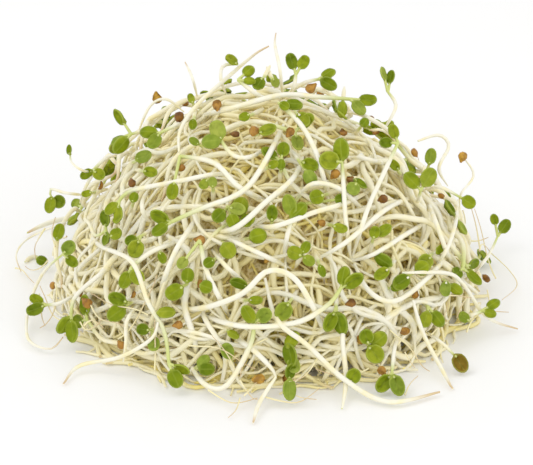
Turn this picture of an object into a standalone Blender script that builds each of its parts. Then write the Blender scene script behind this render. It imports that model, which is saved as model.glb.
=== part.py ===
"""A heap of alfalfa sprouts lying on a flat surface.

The heap is a dome of tangled sprouts. Each sprout is a long pale stem with a
thin root end and, at the other end, two small oval seed leaves. Some still
carry the brown seed hull. The sprouts that are tangled together are joined
to a smaller core that they stand out of. Sprouts that lie loose on the heap,
or on the surface round it, are pieces of their own.

Origin at the middle of the flat underside, +Z up, the front towards -Y.
All sizes are in metres.
"""

import math
import random

import bmesh
import bpy
from mathutils import Vector, noise
from mathutils.bvhtree import BVHTree

# Size of the dense part of the heap
HEAP_RADIUS = 0.050
HEAP_DEPTH = 0.049
HEAP_HEIGHT = 0.050
HEAP_ROUNDNESS = 1.7
FOOT_FILLET = 0.009
HEAP_REACH = 0.0565

# Core that the joined sprouts stand out of
CORE_SINK = 0.0048
CORE_LUMP = 0.0012
CORE_LUMP_SIZE = 0.012

# One sprout
STEM_RADIUS = 0.00072
STEM_SIDES = 3
NECK_RADIUS = 0.00055
ROOT_RADIUS = 0.00036
STEM_STEP = 0.0050
LEAF_LENGTH = 0.0042
LEAF_WIDTH = 0.0032
LEAF_RIM = 0.00062
LEAF_MIDDLE = 0.00088
LEAF_STAGGER = 0.00023
LEAF_ROLL = 0.16
HULL_SIZE = (0.0028, 0.0021, 0.0016)
ROOT_SINK = -6.2

# Sprouts placed by rule: those that cross all over the heap, and those whose
# leaves stand out at the sides and the back, which the front view hides
CROSSING_SPROUTS = 38
CROSSING_LIFT = (-2.8, -0.8)
LEAFY_SPROUTS = 31
LEAFY_LIMIT = 0.55
RULE_REACH = 0.0525
STEM_LENGTH = (0.030, 0.044)
STEM_BEND = (14.0, 60.0)
LONG_STEP = 0.0070
SEED = 20

# Space kept between a loose sprout and what it lies on, the height it is
# laid down from, and how fast it can bend down again past what holds it up
CLEARANCE = 0.0004
DROP_HEIGHT = 0.014
STEM_SAG = 30.0

# The front of the heap is set out as seen from a raised camera. A point in
# that view is given in steps of VIEW_STEP across and down from its corner.
VIEW_STEP = 0.000225
VIEW_TILT = math.radians(25.0)
VIEW_DISTANCE = 0.5
VIEW_AIM = Vector((0.0, 0.0, 0.0143))
VIEW_MIDDLE = (266.5, 232.5)
# A sight line that passes the heap's edge further back than this belongs to
# a sprout that stands out of the edge, not to one on the surface behind
BEHIND = 0.024

FORWARD = Vector((0.0, math.cos(VIEW_TILT), -math.sin(VIEW_TILT)))
RIGHT = Vector((1.0, 0.0, 0.0))
UP = Vector((0.0, math.sin(VIEW_TILT), math.cos(VIEW_TILT)))

# Each sprout of the front: its way from the leaves to the root end, its
# height over the heap in mm at the leaves, half way and at the root end, and
# its leaves as middle, length and width in view steps.
TANGLED = {
    "left_roots": (
        [(66, 222), (50, 228), (26, 240), (16, 255), (21, 272)],
        (-6.2, 3.4, 1.5), []),
    "top_left_cross": (
        [(179, 152), (180, 131), (196, 106), (229, 76), (255, 54), (269, 46)],
        (0.5, 0.8, 1.5), []),
    "left_bow": (
        [(180, 156), (214, 163), (239, 187), (270, 202)],
        (-0.5, 1.2, -6.2), [(174, 190, 17, 11)]),
    "curled_pair": (
        [(221, 140), (233, 155), (255, 155), (264, 148)],
        (1.4, 1.0, -6.2), [(218, 131, 19, 15), (212, 141, 18, 14)]),
    "upper_left_pair": (
        [(160, 133), (180, 123), (192, 118)],
        (1.4, 0.8, -6.2), [(149, 132, 18, 12), (155, 141, 17, 13)]),
    "left_shoulder": (
        [(93, 170), (106, 158), (120, 155)],
        (1.6, 0.8, -6.2), [(87, 174, 14, 9), (101, 175, 13, 11)]),
    "left_edge_pair": (
        [(52, 199), (50, 189), (66, 193), (86, 195)],
        (4.0, 2.0, -6.2), [(51, 205, 17, 12), (60, 202, 14, 13)]),
    "dark_tip": (
        [(70, 154), (72, 163), (84, 171), (97, 170)],
        (6.5, 3.0, -6.2), [(70, 150, 10, 6)]),
    "edge_trio": (
        [(131, 134), (142, 131), (152, 128)],
        (2.0, 0.8, -6.2), [(120, 117, 18, 6), (118, 139, 16, 7), (122, 145, 20, 8)]),
    "root_up": (
        [(283, 100), (280, 70), (275, 45), (276, 33)],
        (-6.2, 1.5, 8.0), []),
    "root_up_left": (
        [(197, 96), (192, 77), (185, 62)],
        (-6.2, 1.0, 5.0), []),
    "top_heart": (
        [(296, 74), (294, 86), (288, 98)],
        (2.5, 0.8, -6.2), [(292, 62, 17, 11), (303, 63, 15, 11)]),
    "top_right_pair": (
        [(319, 79), (304, 83), (288, 93)],
        (1.8, 0.8, -6.2), [(328, 73, 16, 10), (328, 84, 18, 11)]),
    "top_loop": (
        [(237, 64), (223, 66), (221, 80), (226, 94)],
        (3.0, 1.5, -6.2), [(232, 60, 14, 8)]),
    "upper_cluster": (
        [(238, 80), (258, 95), (272, 101)],
        (1.2, 0.8, -6.2), [(248, 71, 13, 11), (249, 81, 12, 8)]),
    "inner_pair": (
        [(299, 161), (291, 150)],
        (0.8, -1.6, -6.2), [(309, 165, 16, 12), (309, 177, 16, 12)]),
    "edge_pair_right": (
        [(388, 92), (396, 106), (385, 128)],
        (3.0, 1.5, -6.2), [(391, 77, 15, 6), (383, 74, 15, 6)]),
    "right_loop": (
        [(418, 141), (439, 135), (449, 146), (439, 168), (448, 186)],
        (-6.2, 2.6, -6.2), []),
    "hull_loop": (
        [(464, 158), (474, 175), (461, 194), (460, 208)],
        (4.5, 3.0, -6.2), []),
    "upright_leaf": (
        [(428, 168), (424, 180)],
        (1.6, -3.0, -6.2), [(430, 157, 17, 10)]),
    "right_heart": (
        [(421, 190), (416, 208)],
        (1.8, -0.5, -6.2), [(412, 181, 19, 14), (428, 178, 20, 15)]),
    "right_neck": (
        [(460, 197), (440, 187), (424, 190)],
        (2.0, 1.0, -6.2), [(468, 202, 15, 13)]),
    "far_right_pair": (
        [(498, 236), (487, 258), (470, 276)],
        (3.2, 1.5, -6.2), [(505, 226, 17, 12), (494, 219, 12, 9)]),
    "left_middle_pair": (
        [(131, 268), (151, 252), (182, 240)],
        (1.4, 1.0, -6.2), [(126, 279, 17, 12), (137, 276, 16, 13)]),
    "left_leaves": (
        [(141, 236), (158, 225)],
        (1.2, -2.5, -6.2), [(132, 240, 12, 10), (137, 248, 17, 15)]),
    "middle_trio": (
        [(228, 207), (226, 200)],
        (0.8, -2.5, -6.2), [(220, 215, 14, 13), (237, 209, 15, 11), (233, 220, 14, 12)]),
    "middle_pair": (
        [(293, 217), (288, 232), (284, 256)],
        (1.6, 0.8, -6.2), [(290, 206, 20, 12), (298, 212, 20, 13)]),
    "middle_arch": (
        [(293, 205), (312, 184), (340, 189), (367, 215)],
        (-6.2, 1.6, -6.2), [(337, 200, 12, 10)]),
    "middle_down": (
        [(200, 240), (207, 272), (224, 306), (231, 320)],
        (0.9, 0.9, -6.2), [(184, 261, 12, 10)]),
    "middle_slope": (
        [(218, 234), (250, 249), (290, 268)],
        (-6.2, 0.9, -6.2), [(228, 249, 16, 15)]),
    "leaf_cluster": (
        [(288, 345), (278, 334)],
        (1.6, -3.0, -6.2), [(291, 340, 18, 11), (290, 353, 22, 11), (293, 363, 15, 12)]),
    "low_leaf": (
        [(289, 377), (290, 366)],
        (1.6, -3.0, -6.2), [(289, 387, 20, 12), (290, 371, 16, 9)]),
    "lower_middle_pair": (
        [(336, 308), (338, 291)],
        (1.2, -2.5, -6.2), [(330, 320, 19, 12), (339, 322, 21, 12)]),
    "lower_upright": (
        [(358, 310), (343, 331), (346, 379), (342, 410)],
        (-6.2, 1.0, 0.8), []),
    "right_trio": (
        [(369, 347), (360, 330)],
        (1.4, -2.5, -6.2), [(366, 337, 14, 13), (378, 340, 17, 14), (374, 353, 18, 16)]),
    "right_low_pair": (
        [(428, 307), (413, 296)],
        (1.6, -3.0, -6.2), [(425, 318, 16, 12), (437, 318, 18, 12)]),
    "right_side_pair": (
        [(445, 281), (434, 272)],
        (1.6, -3.0, -6.2), [(444, 288, 15, 11), (455, 289, 15, 9)]),
    "right_inner_leaves": (
        [(391, 266), (400, 254)],
        (1.2, -2.5, -6.2), [(383, 261, 18, 11), (381, 273, 16, 10)]),
    "right_mid_leaf": (
        [(408, 276), (418, 262)],
        (1.2, -2.5, -6.2), [(400, 281, 19, 14), (421, 268, 15, 14)]),
    "right_descent": (
        [(430, 220), (405, 235), (372, 255), (345, 262)],
        (-6.2, 0.9, -6.2), [(413, 246, 14, 13)]),
    "centre_leaves": (
        [(302, 256), (312, 247)],
        (1.0, -2.5, -6.2), [(295, 253, 14, 13), (308, 260, 12, 10)]),
    "left_front_pair": (
        [(130, 303), (143, 299)],
        (1.4, -2.5, -6.2), [(119, 299, 18, 12), (118, 312, 20, 15)]),
    "left_front_leaves": (
        [(187, 284), (196, 276)],
        (1.2, -2.5, -6.2), [(188, 276, 14, 12), (176, 291, 18, 15)]),
    "front_left_leaves": (
        [(152, 330), (160, 321)],
        (1.2, -2.5, -6.2), [(144, 329, 12, 11), (154, 342, 14, 12)]),
    "front_pair_small": (
        [(196, 368), (184, 374)],
        (1.6, -3.0, -6.2), [(203, 361, 14, 10), (206, 368, 15, 12)]),
}

# Sprouts that lie loose, set out the same way
LOOSE = {
    "left_upper": (
        [(119, 201), (131, 191), (175, 182), (220, 174), (243, 181)],
        (1.0, 1.0, 1.1), [(112, 208, 15, 10), (119, 214, 18, 9)]),
    "crown_arch": (
        [(350, 99), (320, 97), (281, 95), (232, 108), (188, 119)],
        (1.0, 1.2, 1.1), [(367, 100, 18, 12), (358, 108, 17, 12)]),
    "crown_diagonal": (
        [(279, 103), (301, 125), (317, 155), (327, 193), (329, 206)],
        (0.8, 1.0, 1.1), [(293, 104, 17, 11), (284, 106, 10, 9)]),
    "left_diagonal": (
        [(84, 225), (99, 245), (132, 262), (148, 302), (164, 331), (169, 364)],
        (1.1, 1.0, 1.2), [(175, 377, 18, 14), (181, 368, 16, 7)]),
    "front_heart": (
        [(254, 323), (250, 346), (226, 386), (203, 383), (184, 352)],
        (1.5, 0.8, 1.1), [(249, 315, 18, 12), (263, 316, 15, 13)]),
    "low_pair": (
        [(341, 288), (328, 305), (295, 323), (240, 326), (190, 311)],
        (1.5, 1.1, 1.1), [(343, 277, 18, 11), (352, 281, 20, 12)]),
    "middle_long": (
        [(238, 220), (270, 227), (315, 212), (345, 203), (374, 189)],
        (1.1, 0.9, 1.1), []),
    "tall_pair": (
        [(342, 162), (344, 192), (346, 222), (351, 260)],
        (1.6, 1.0, 1.1), [(341, 150, 22, 14), (330, 161, 19, 17)]),
    "right_serpentine": (
        [(352, 258), (370, 292), (398, 300), (438, 267), (449, 243)],
        (1.1, 1.2, 1.1), []),
    "right_strand": (
        [(418, 196), (388, 208), (345, 243), (308, 264)],
        (1.1, 1.1, 1.1), []),
    "long_curve": (
        [(171, 222), (200, 209), (240, 193), (262, 167), (287, 118)],
        (1.4, 1.4, 1.4), [(161, 217, 19, 11), (161, 229, 17, 11)]),
    "bright_bow": (
        [(304, 152), (294, 177), (265, 203), (233, 229), (200, 230)],
        (1.2, 1.4, 1.4), []),
    "big_arch": (
        [(160, 302), (195, 309), (240, 295), (268, 271), (296, 280),
         (320, 322), (332, 357)],
        (1.2, 1.6, 1.6), []),
    "right_shoulder": (
        [(398, 143), (382, 177), (368, 208), (352, 258)],
        (2.0, 1.2, 1.2), [(394, 132, 15, 9), (386, 143, 13, 10)]),
    "front_tail": (
        [(276, 377), (259, 404), (253, 424)],
        (1.6, 1.2, 0.8), []),
    "front_right_tail": (
        [(265, 278), (277, 320), (307, 345), (345, 380), (388, 402), (440, 392)],
        (1.4, 1.2, 0.8), []),
    "front_right_pair": (
        [(392, 373), (395, 346), (402, 334)],
        (1.6, 1.2, 1.2), [(384, 382, 19, 13), (396, 384, 20, 13)]),
    "right_root": (
        [(413, 300), (423, 333), (445, 375), (453, 390)],
        (1.6, 1.2, 0.8), []),
    "brown_leaf": (
        [(455, 356), (442, 343), (426, 332)],
        (1.8, 1.6, 1.4), [(459, 363, 19, 14)]),
    "right_tail": (
        [(402, 273), (446, 273), (463, 284), (487, 317), (518, 329)],
        (1.4, 1.6, 0.8), []),
    "right_table_pair": (
        [(482, 311), (470, 315), (458, 312)],
        (1.4, 1.4, 1.4), [(493, 304, 15, 9), (490, 313, 13, 9)]),
    "left_big_loop": (
        [(63, 254), (43, 273), (29, 306), (28, 339), (50, 349), (63, 337)],
        (4.0, 1.5, 0.8), [(69, 248, 15, 13), (72, 261, 14, 10)]),
    "table_pair": (
        [(46, 305), (60, 303), (78, 293)],
        (1.2, 1.2, 1.6), [(37, 300, 15, 10), (36, 309, 18, 12)]),
    "front_left_pair": (
        [(71, 315), (75, 297), (98, 276), (118, 262)],
        (1.4, 1.2, 1.4), [(65, 325, 19, 9), (73, 330, 22, 13)]),
    "front_left_tail": (
        [(158, 322), (151, 339), (120, 357), (79, 366), (63, 385)],
        (1.6, 1.2, 0.8), []),
    "back_left_loose": (
        [], (-0.036, 0.040, 2.4), []),
    "back_right_loose": (
        [], (0.041, 0.035, 0.6), []),
    "back_loose": (
        [], (0.004, 0.052, 3.0), []),
}

# Brown seed hulls: middle in view steps
HULLS = [
    (157, 98), (179, 117), (217, 105), (290, 132), (254, 131), (383, 199),
    (462, 157), (87, 303), (178, 325), (405, 331), (382, 371), (351, 303),
    (259, 379), (200, 240), (311, 88), (335, 174), (121, 345),
]

# Colours seen on the real thing, as linear red, green and blue
STEM_COLOUR = (0.80, 0.76, 0.56, 1.0)
LEAF_COLOUR = (0.27, 0.35, 0.03, 1.0)


def clear_scene():
    """Remove whatever the file holds."""
    for thing in list(bpy.data.objects):
        bpy.data.objects.remove(thing)


def make_material(name, colour, roughness):
    """A plain material with one colour."""
    material = bpy.data.materials.new(name)
    material.use_nodes = True
    shader = material.node_tree.nodes["Principled BSDF"]
    shader.inputs["Base Color"].default_value = colour
    shader.inputs["Roughness"].default_value = roughness
    shader.inputs["Metallic"].default_value = 0.0
    return material


# The heap's surface

def dome_distance(point):
    """Rough distance from a point to the dome, less than 0 inside it."""
    across = math.hypot(point.x / HEAP_RADIUS, point.y / HEAP_DEPTH)
    up = abs(point.z) / HEAP_HEIGHT
    power = HEAP_ROUNDNESS
    level = (across ** power + up ** power) ** (1.0 / power)
    size = max(point.length, 1e-6)
    return size * (1.0 - 1.0 / max(level, 1e-6))


def heap_distance(point):
    """Distance to the dome and the flat surface, blended at the foot."""
    dome = dome_distance(point)
    table = point.z
    blend = max(FOOT_FILLET - abs(dome - table), 0.0) / FOOT_FILLET
    return min(dome, table) - blend * blend * FOOT_FILLET / 4.0


def heap_normal(point):
    """Direction straight out of the heap at a point."""
    step = 0.0002
    slope = []
    for axis in range(3):
        shift = Vector((0.0, 0.0, 0.0))
        shift[axis] = step
        slope.append(heap_distance(point + shift) - heap_distance(point - shift))
    return Vector(slope).normalized()


def onto_heap(point, lift):
    """Move a point straight in or out to a height over the heap."""
    for _ in range(6):
        error = heap_distance(point) - lift
        point = point - heap_normal(point) * error
    return point


def view_ray(across, down):
    """Start and direction of the sight line through a point of the view."""
    eye = VIEW_AIM - FORWARD * VIEW_DISTANCE
    scale = VIEW_STEP / VIEW_DISTANCE
    side = RIGHT * (across - VIEW_MIDDLE[0]) * scale
    rise = UP * (VIEW_MIDDLE[1] - down) * scale
    return eye, (FORWARD + side + rise).normalized()


def from_view(across, down, lift):
    """The place on the heap seen at a point of the view, at a height."""
    eye, sight = view_ray(across, down)
    travel = VIEW_DISTANCE - 0.10
    nearest = None
    while travel < VIEW_DISTANCE + 0.06:
        point = eye + sight * travel
        gap = heap_distance(point) - lift
        if nearest is None or dome_distance(point) < nearest[0]:
            nearest = (dome_distance(point), point)
        if gap < 0.00004 or point.y > BEHIND:
            break
        travel += max(gap * 0.7, 0.0001)
    if point.y < BEHIND:
        return point
    return onto_heap(nearest[1], lift) if lift < 0.0 else nearest[1]


# Ways of stems

def smooth_way(points, step):
    """A smooth curve through the points, read off at an even step."""
    dense = []
    last = len(points) - 1
    for index in range(last):
        before = points[max(index - 1, 0)]
        start = points[index]
        end = points[index + 1]
        after = points[min(index + 2, last)]
        for part in range(12):
            t = part / 12.0
            dense.append(0.5 * (
                2.0 * start
                + (end - before) * t
                + (2.0 * before - 5.0 * start + 4.0 * end - after) * t * t
                + (3.0 * start - before - 3.0 * end + after) * t ** 3
            ))
    dense.append(points[-1].copy())
    return even_steps(dense, step)


def even_steps(dense, step):
    """Points at even distances along a finely divided line."""
    travelled = [0.0]
    for index in range(1, len(dense)):
        travelled.append(travelled[-1] + (dense[index] - dense[index - 1]).length)
    total = travelled[-1]
    count = max(2, round(total / step))
    way = []
    index = 0
    for number in range(count + 1):
        target = total * number / count
        while index < len(dense) - 2 and travelled[index + 1] < target:
            index += 1
        span = max(travelled[index + 1] - travelled[index], 1e-9)
        share = min(max((target - travelled[index]) / span, 0.0), 1.0)
        way.append(dense[index].lerp(dense[index + 1], share))
    return way


def lift_along(lifts, share):
    """Height over the heap at a share of the way, from three heights in mm."""
    first, middle, last = lifts
    if share < 0.3:
        t = share / 0.3
        height = first + (middle - first) * t * t * (3.0 - 2.0 * t)
    elif share > 0.7:
        t = (share - 0.7) / 0.3
        height = middle + (last - middle) * t * t * (3.0 - 2.0 * t)
    else:
        height = middle
    return height / 1000.0


def way_from_view(path, lifts):
    """A stem's way over the heap from its points in the view."""
    last = max(len(path) - 1, 1)
    points = []
    for index, (across, down) in enumerate(path):
        points.append(from_view(across, down, lift_along(lifts, index / last)))
    way = smooth_way(points, STEM_STEP)
    return [raised(point) for point in way]


def way_on_heap(path):
    """The line over the heap's surface that a path in the view covers."""
    points = [from_view(across, down, 0.0015) for across, down in path]
    way = smooth_way(points, 0.001)
    return [onto_heap(point, 0.0) for point in way]


def raised(point):
    """The point, no lower than a stem can lie on the flat surface."""
    return Vector((point.x, point.y, max(point.z, STEM_RADIUS + 0.0001)))


def wander(start, heading, length, bend, wave):
    """A way over the heap's surface that bends evenly and waves a little."""
    steps = max(4, round(length / 0.0015))
    point = onto_heap(start, 0.0)
    way = [point]
    for index in range(steps):
        normal = heap_normal(point)
        heading = (heading - normal * heading.dot(normal)).normalized()
        side = normal.cross(heading)
        share = index / steps
        turn = bend + wave * math.sin(math.tau * share * 1.4 + bend * 90.0)
        heading = (heading + side * turn * length / steps).normalized()
        point = onto_heap(point + heading * length / steps, 0.0)
        way.append(point)
    return way


def lifted_way(way, lifts, step):
    """A way over the surface, raised to its heights and evenly divided."""
    raised_points = []
    last = len(way) - 1
    for index, point in enumerate(way):
        lift = lift_along(lifts, index / last)
        raised_points.append(raised(point + heap_normal(point) * lift))
    return even_steps(raised_points, step)


# Solids

def new_object(name, mesh, collection):
    """A new object in a collection."""
    thing = bpy.data.objects.new(name, mesh)
    collection.objects.link(thing)
    return thing


def stem_section():
    """The stem's cross-section, a small closed curve."""
    curve = bpy.data.curves.new("stem_section", "CURVE")
    curve.dimensions = "2D"
    spline = curve.splines.new("POLY")
    spline.points.add(STEM_SIDES - 1)
    spline.use_cyclic_u = True
    for index, point in enumerate(spline.points):
        angle = math.tau * index / STEM_SIDES
        point.co = (math.cos(angle), math.sin(angle), 0.0, 1.0)
    section = bpy.data.objects.new("stem_section", curve)
    section.hide_render = True
    return section


def stem_radii(count, has_leaves):
    """Radius at each point: a neck under the leaves and a thin root end."""
    radii = []
    for index in range(count):
        share = index / (count - 1)
        radius = STEM_RADIUS
        if has_leaves and share < 0.15:
            radius = NECK_RADIUS
        if share > 0.8:
            fade = (share - 0.8) / 0.2
            radius = STEM_RADIUS + (ROOT_RADIUS - STEM_RADIUS) * fade
        radii.append(radius)
    return radii


def stem_mesh(way, radii, section):
    """A closed tube along a way, made from a curve."""
    curve = bpy.data.curves.new("stem", "CURVE")
    curve.dimensions = "3D"
    curve.bevel_mode = "OBJECT"
    curve.bevel_object = section
    curve.use_fill_caps = True
    spline = curve.splines.new("POLY")
    spline.points.add(len(way) - 1)
    for index, point in enumerate(spline.points):
        point.co = (*way[index], 1.0)
        point.radius = radii[index]
    thing = bpy.data.objects.new("stem", curve)
    bpy.context.scene.collection.objects.link(thing)
    bpy.context.view_layer.update()
    view = bpy.context.evaluated_depsgraph_get()
    mesh = bpy.data.meshes.new_from_object(thing.evaluated_get(view))
    bpy.data.objects.remove(thing)
    weld_and_orient(mesh)
    return mesh


def weld_and_orient(mesh):
    """Close a mesh's caps and turn its faces outwards."""
    cage = bmesh.new()
    cage.from_mesh(mesh)
    bmesh.ops.remove_doubles(cage, verts=cage.verts, dist=0.000001)
    face_out(cage)
    cage.to_mesh(mesh)
    cage.free()


def face_out(cage):
    """Turn a closed mesh's faces outwards."""
    bmesh.ops.recalc_face_normals(cage, faces=cage.faces)
    if cage.calc_volume(signed=True) < 0.0:
        bmesh.ops.reverse_faces(cage, faces=cage.faces)


def leaf_mesh(joint, along, face, length, width):
    """An oval blade from its joint, a little cupped, with a thick rim."""
    side = face.cross(along).normalized()
    face = along.cross(side).normalized()
    cage = bmesh.new()
    bmesh.ops.create_uvsphere(cage, u_segments=8, v_segments=3, radius=1.0)
    for vertex in cage.verts:
        x, y, z = vertex.co
        ring = math.hypot(x, y) > 0.5
        reach = 1.155 if ring else 0.0
        half = LEAF_RIM / 2.0 if ring else LEAF_MIDDLE / 2.0
        x *= reach
        y *= reach * (1.0 + 0.12 * x)
        cup = 0.10 * length * (x * x + y * y)
        place = joint + along * (x + 0.74) * length * 0.5
        place += side * y * width * 0.5
        place += face * (math.copysign(half, z) + cup)
        vertex.co = place
    mesh = bpy.data.meshes.new("leaf")
    cage.to_mesh(mesh)
    cage.free()
    return mesh


def hull_mesh(middle, along, face):
    """A small bean-shaped seed hull."""
    side = face.cross(along).normalized()
    face = along.cross(side).normalized()
    cage = bmesh.new()
    bmesh.ops.create_icosphere(cage, subdivisions=1, radius=0.5)
    for vertex in cage.verts:
        x, y, z = vertex.co
        place = middle + along * x * HULL_SIZE[0] * 1.05
        place += side * y * HULL_SIZE[1] * 1.05
        place += face * z * HULL_SIZE[2] * 1.05
        vertex.co = place
    mesh = bpy.data.meshes.new("hull")
    cage.to_mesh(mesh)
    cage.free()
    return mesh


def core_mesh():
    """The core: a lumpy dome with a flat underside."""
    cage = bmesh.new()
    bmesh.ops.create_icosphere(cage, subdivisions=3, radius=1.0)
    edges_and_all = cage.verts[:] + cage.edges[:] + cage.faces[:]
    bmesh.ops.bisect_plane(
        cage, geom=edges_and_all, plane_co=(0, 0, 0), plane_no=(0, 0, 1),
        clear_inner=True,
    )
    rim = [edge for edge in cage.edges if edge.is_boundary]
    bmesh.ops.contextual_create(cage, geom=rim)
    for vertex in cage.verts:
        direction = vertex.co.normalized()
        flat = abs(direction.z) < 0.01
        lump = noise.noise(direction * HEAP_RADIUS / CORE_LUMP_SIZE)
        sink = CORE_SINK - CORE_LUMP * lump
        reach = HEAP_RADIUS
        for _ in range(30):
            error = dome_distance(direction * reach) + sink
            reach -= error * 0.9
        vertex.co = direction * reach
        if flat:
            vertex.co.z = 0.0
    face_out(cage)
    mesh = bpy.data.meshes.new("core")
    cage.to_mesh(mesh)
    cage.free()
    return mesh


# Sprouts

def leaves_from_view(joint, leaves):
    """Direction, face and size of each leaf that the view shows."""
    return [leaf_from_view(joint, leaf, number) for number, leaf in enumerate(leaves)]


def leaf_from_view(joint, leaf, number):
    """Direction, face and size of one of a sprout's leaves."""
    across, down, length, width = leaf
    middle_x, middle_y = point_in_view(joint)
    along = RIGHT * (across - middle_x) - UP * (down - middle_y)
    along = along.normalized() - FORWARD * 0.12
    along.normalize()
    size = max(length * VIEW_STEP, LEAF_LENGTH * 0.62)
    breadth = max(width * VIEW_STEP, size * 0.62)
    tilt = math.acos(min(width * VIEW_STEP / breadth, 1.0)) * 0.9 + LEAF_ROLL
    tilt *= (1.0, -0.8, 0.6)[number]
    side = along.cross(FORWARD).normalized()
    face = side.cross(along).normalized()
    if face.dot(FORWARD) > 0.0:
        face = -face
    face = (face * math.cos(tilt) + side * math.sin(tilt)).normalized()
    return along, face, size, breadth


def point_in_view(point):
    """Where a place is seen in the view."""
    eye = VIEW_AIM - FORWARD * VIEW_DISTANCE
    offset = point - eye
    depth = offset.dot(FORWARD)
    scale = VIEW_DISTANCE / (depth * VIEW_STEP)
    across = VIEW_MIDDLE[0] + offset.dot(RIGHT) * scale
    down = VIEW_MIDDLE[1] - offset.dot(UP) * scale
    return across, down


def sprout_meshes(way, leaves, section):
    """The solids of one sprout."""
    radii = stem_radii(len(way), bool(leaves))
    meshes = [stem_mesh(way, radii, section)]
    for number, (along, face, length, width) in enumerate(leaves):
        joint = way[0] + face * LEAF_STAGGER * (number - 0.5)
        meshes.append(leaf_mesh(joint, along, face, length, width))
    return meshes


def spread_place(index, count, low, high):
    """Places spread evenly over the dome by turning the golden angle."""
    angle = index * math.pi * (3.0 - math.sqrt(5.0))
    rise = math.asin(low + (high - low) * (index + 0.5) / count)
    return Vector((
        math.cos(angle) * math.cos(rise),
        math.sin(angle) * math.cos(rise),
        math.sin(rise),
    )) * HEAP_RADIUS


def bent_way(middle, rng):
    """A curved way over the heap with its middle at a place."""
    for _ in range(60):
        heading = Vector((rng.gauss(0, 1), rng.gauss(0, 1), rng.gauss(0, 0.5)))
        half = rng.uniform(*STEM_LENGTH) / 2.0
        bend = rng.choice((-1.0, 1.0)) * rng.uniform(*STEM_BEND)
        wave = rng.uniform(0.0, 25.0)
        back = wander(middle, -heading, half, -bend, wave)
        ahead = wander(middle, heading, half, bend, wave)
        way = back[:0:-1] + ahead
        if max(math.hypot(point.x, point.y) for point in way) < RULE_REACH:
            break
    return way


def crossing_sprout(index, rng):
    """One of the many sprouts whose ends are both down in the tangle."""
    middle = spread_place(index, CROSSING_SPROUTS, 0.03, 0.99)
    way = bent_way(middle, rng)
    lifts = (ROOT_SINK, rng.uniform(*CROSSING_LIFT), ROOT_SINK)
    return lifted_way(way, lifts, LONG_STEP)


def leafy_sprout(index, rng):
    """A sprout by rule whose leaves stand out of the sides or the back."""
    middle = spread_place(index, LEAFY_SPROUTS, 0.06, 0.97)
    if middle.y < LEAFY_LIMIT * middle.z - 0.022:
        return None
    way = bent_way(middle, rng)
    lifts = (rng.uniform(0.8, 2.2), rng.uniform(0.4, 1.3), ROOT_SINK)
    return lifted_way(way, lifts, STEM_STEP)


def rule_leaves(way, rng):
    """A pair of leaves spread at the end of a stem."""
    normal = heap_normal(way[0])
    ahead = (way[0] - way[2]).normalized()
    side = normal.cross(ahead).normalized()
    leaves = []
    opening = rng.uniform(0.45, 1.15)
    lift = rng.uniform(0.15, 0.55)
    for turn in (-1.0, 1.0):
        angle = turn * opening + rng.uniform(-0.2, 0.2)
        along = ahead * math.cos(angle) + side * math.sin(angle) + normal * lift
        along.normalize()
        roll = turn * rng.uniform(-0.1, 0.6)
        face = normal * math.cos(roll) + side * math.sin(roll)
        size = LEAF_LENGTH * rng.uniform(0.82, 1.08)
        leaves.append((along, face, size, size * LEAF_WIDTH / LEAF_LENGTH))
    return leaves


# Joining

def joined(name, meshes, home, material):
    """One closed solid made of overlapping meshes."""
    if len(meshes) == 1:
        thing = new_object(name, meshes[0], home)
        finish(thing, material)
        return thing
    pieces = bpy.data.collections.new(name + "_pieces")
    bpy.context.scene.collection.children.link(pieces)
    thing = new_object(name, meshes[0], home)
    for number, mesh in enumerate(meshes[1:]):
        new_object(f"{name}_piece_{number}", mesh, pieces)
    union = thing.modifiers.new("join", "BOOLEAN")
    union.operation = "UNION"
    union.operand_type = "COLLECTION"
    union.collection = pieces
    union.solver = "MANIFOLD"
    bpy.context.view_layer.update()
    view = bpy.context.evaluated_depsgraph_get()
    mesh = bpy.data.meshes.new_from_object(thing.evaluated_get(view))
    thing.modifiers.clear()
    thing.data = mesh
    for piece in list(pieces.objects):
        bpy.data.objects.remove(piece)
    bpy.data.collections.remove(pieces)
    finish(thing, material)
    return thing


def finish(thing, material):
    """Clean a solid's mesh and give it its material."""
    mesh = thing.data
    keep_outer_shell(mesh)
    mesh.name = thing.name
    mesh.materials.clear()
    mesh.materials.append(material)
    mesh.shade_flat()


def keep_outer_shell(mesh):
    """Keep the largest shell: fill sealed hollows and drop loose scraps."""
    cage = bmesh.new()
    cage.from_mesh(mesh)
    bmesh.ops.triangulate(cage, faces=cage.faces)
    seen = set()
    shells = []
    for face in cage.faces:
        if face in seen:
            continue
        shell = [face]
        seen.add(face)
        for reached in shell:
            for edge in reached.edges:
                for other in edge.link_faces:
                    if other not in seen:
                        seen.add(other)
                        shell.append(other)
        shells.append(shell)
    shells.sort(key=shell_volume)
    extra = [face for shell in shells[:-1] for face in shell]
    bmesh.ops.delete(cage, geom=extra, context="FACES")
    cage.to_mesh(mesh)
    cage.free()


def shell_volume(shell):
    """Volume inside a closed set of triangles, less than 0 for a hollow."""
    volume = 0.0
    for face in shell:
        a, b, c = (vertex.co for vertex in face.verts)
        volume += a.dot(b.cross(c)) / 6.0
    return volume


# Loose sprouts

def tree_of(mesh):
    """A search tree over a mesh's triangles."""
    corners = [vertex.co for vertex in mesh.vertices]
    faces = [tuple(face.vertices) for face in mesh.polygons]
    return BVHTree.FromPolygons(corners, faces)


def gap_to(point, trees):
    """Distance from a point to the nearest solid's surface."""
    return min(tree.find_nearest(point)[3] for tree in trees)


def resting_lift(place, outward, wanted, trees):
    """How far out a stem's middle rests when it is laid on the solids."""
    lift = DROP_HEIGHT
    clear = STEM_RADIUS + CLEARANCE + 0.0002
    while lift > wanted:
        gap = gap_to(place + outward * lift, trees) - clear
        if gap < 0.00003:
            return lift
        lift -= gap
    return wanted


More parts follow.
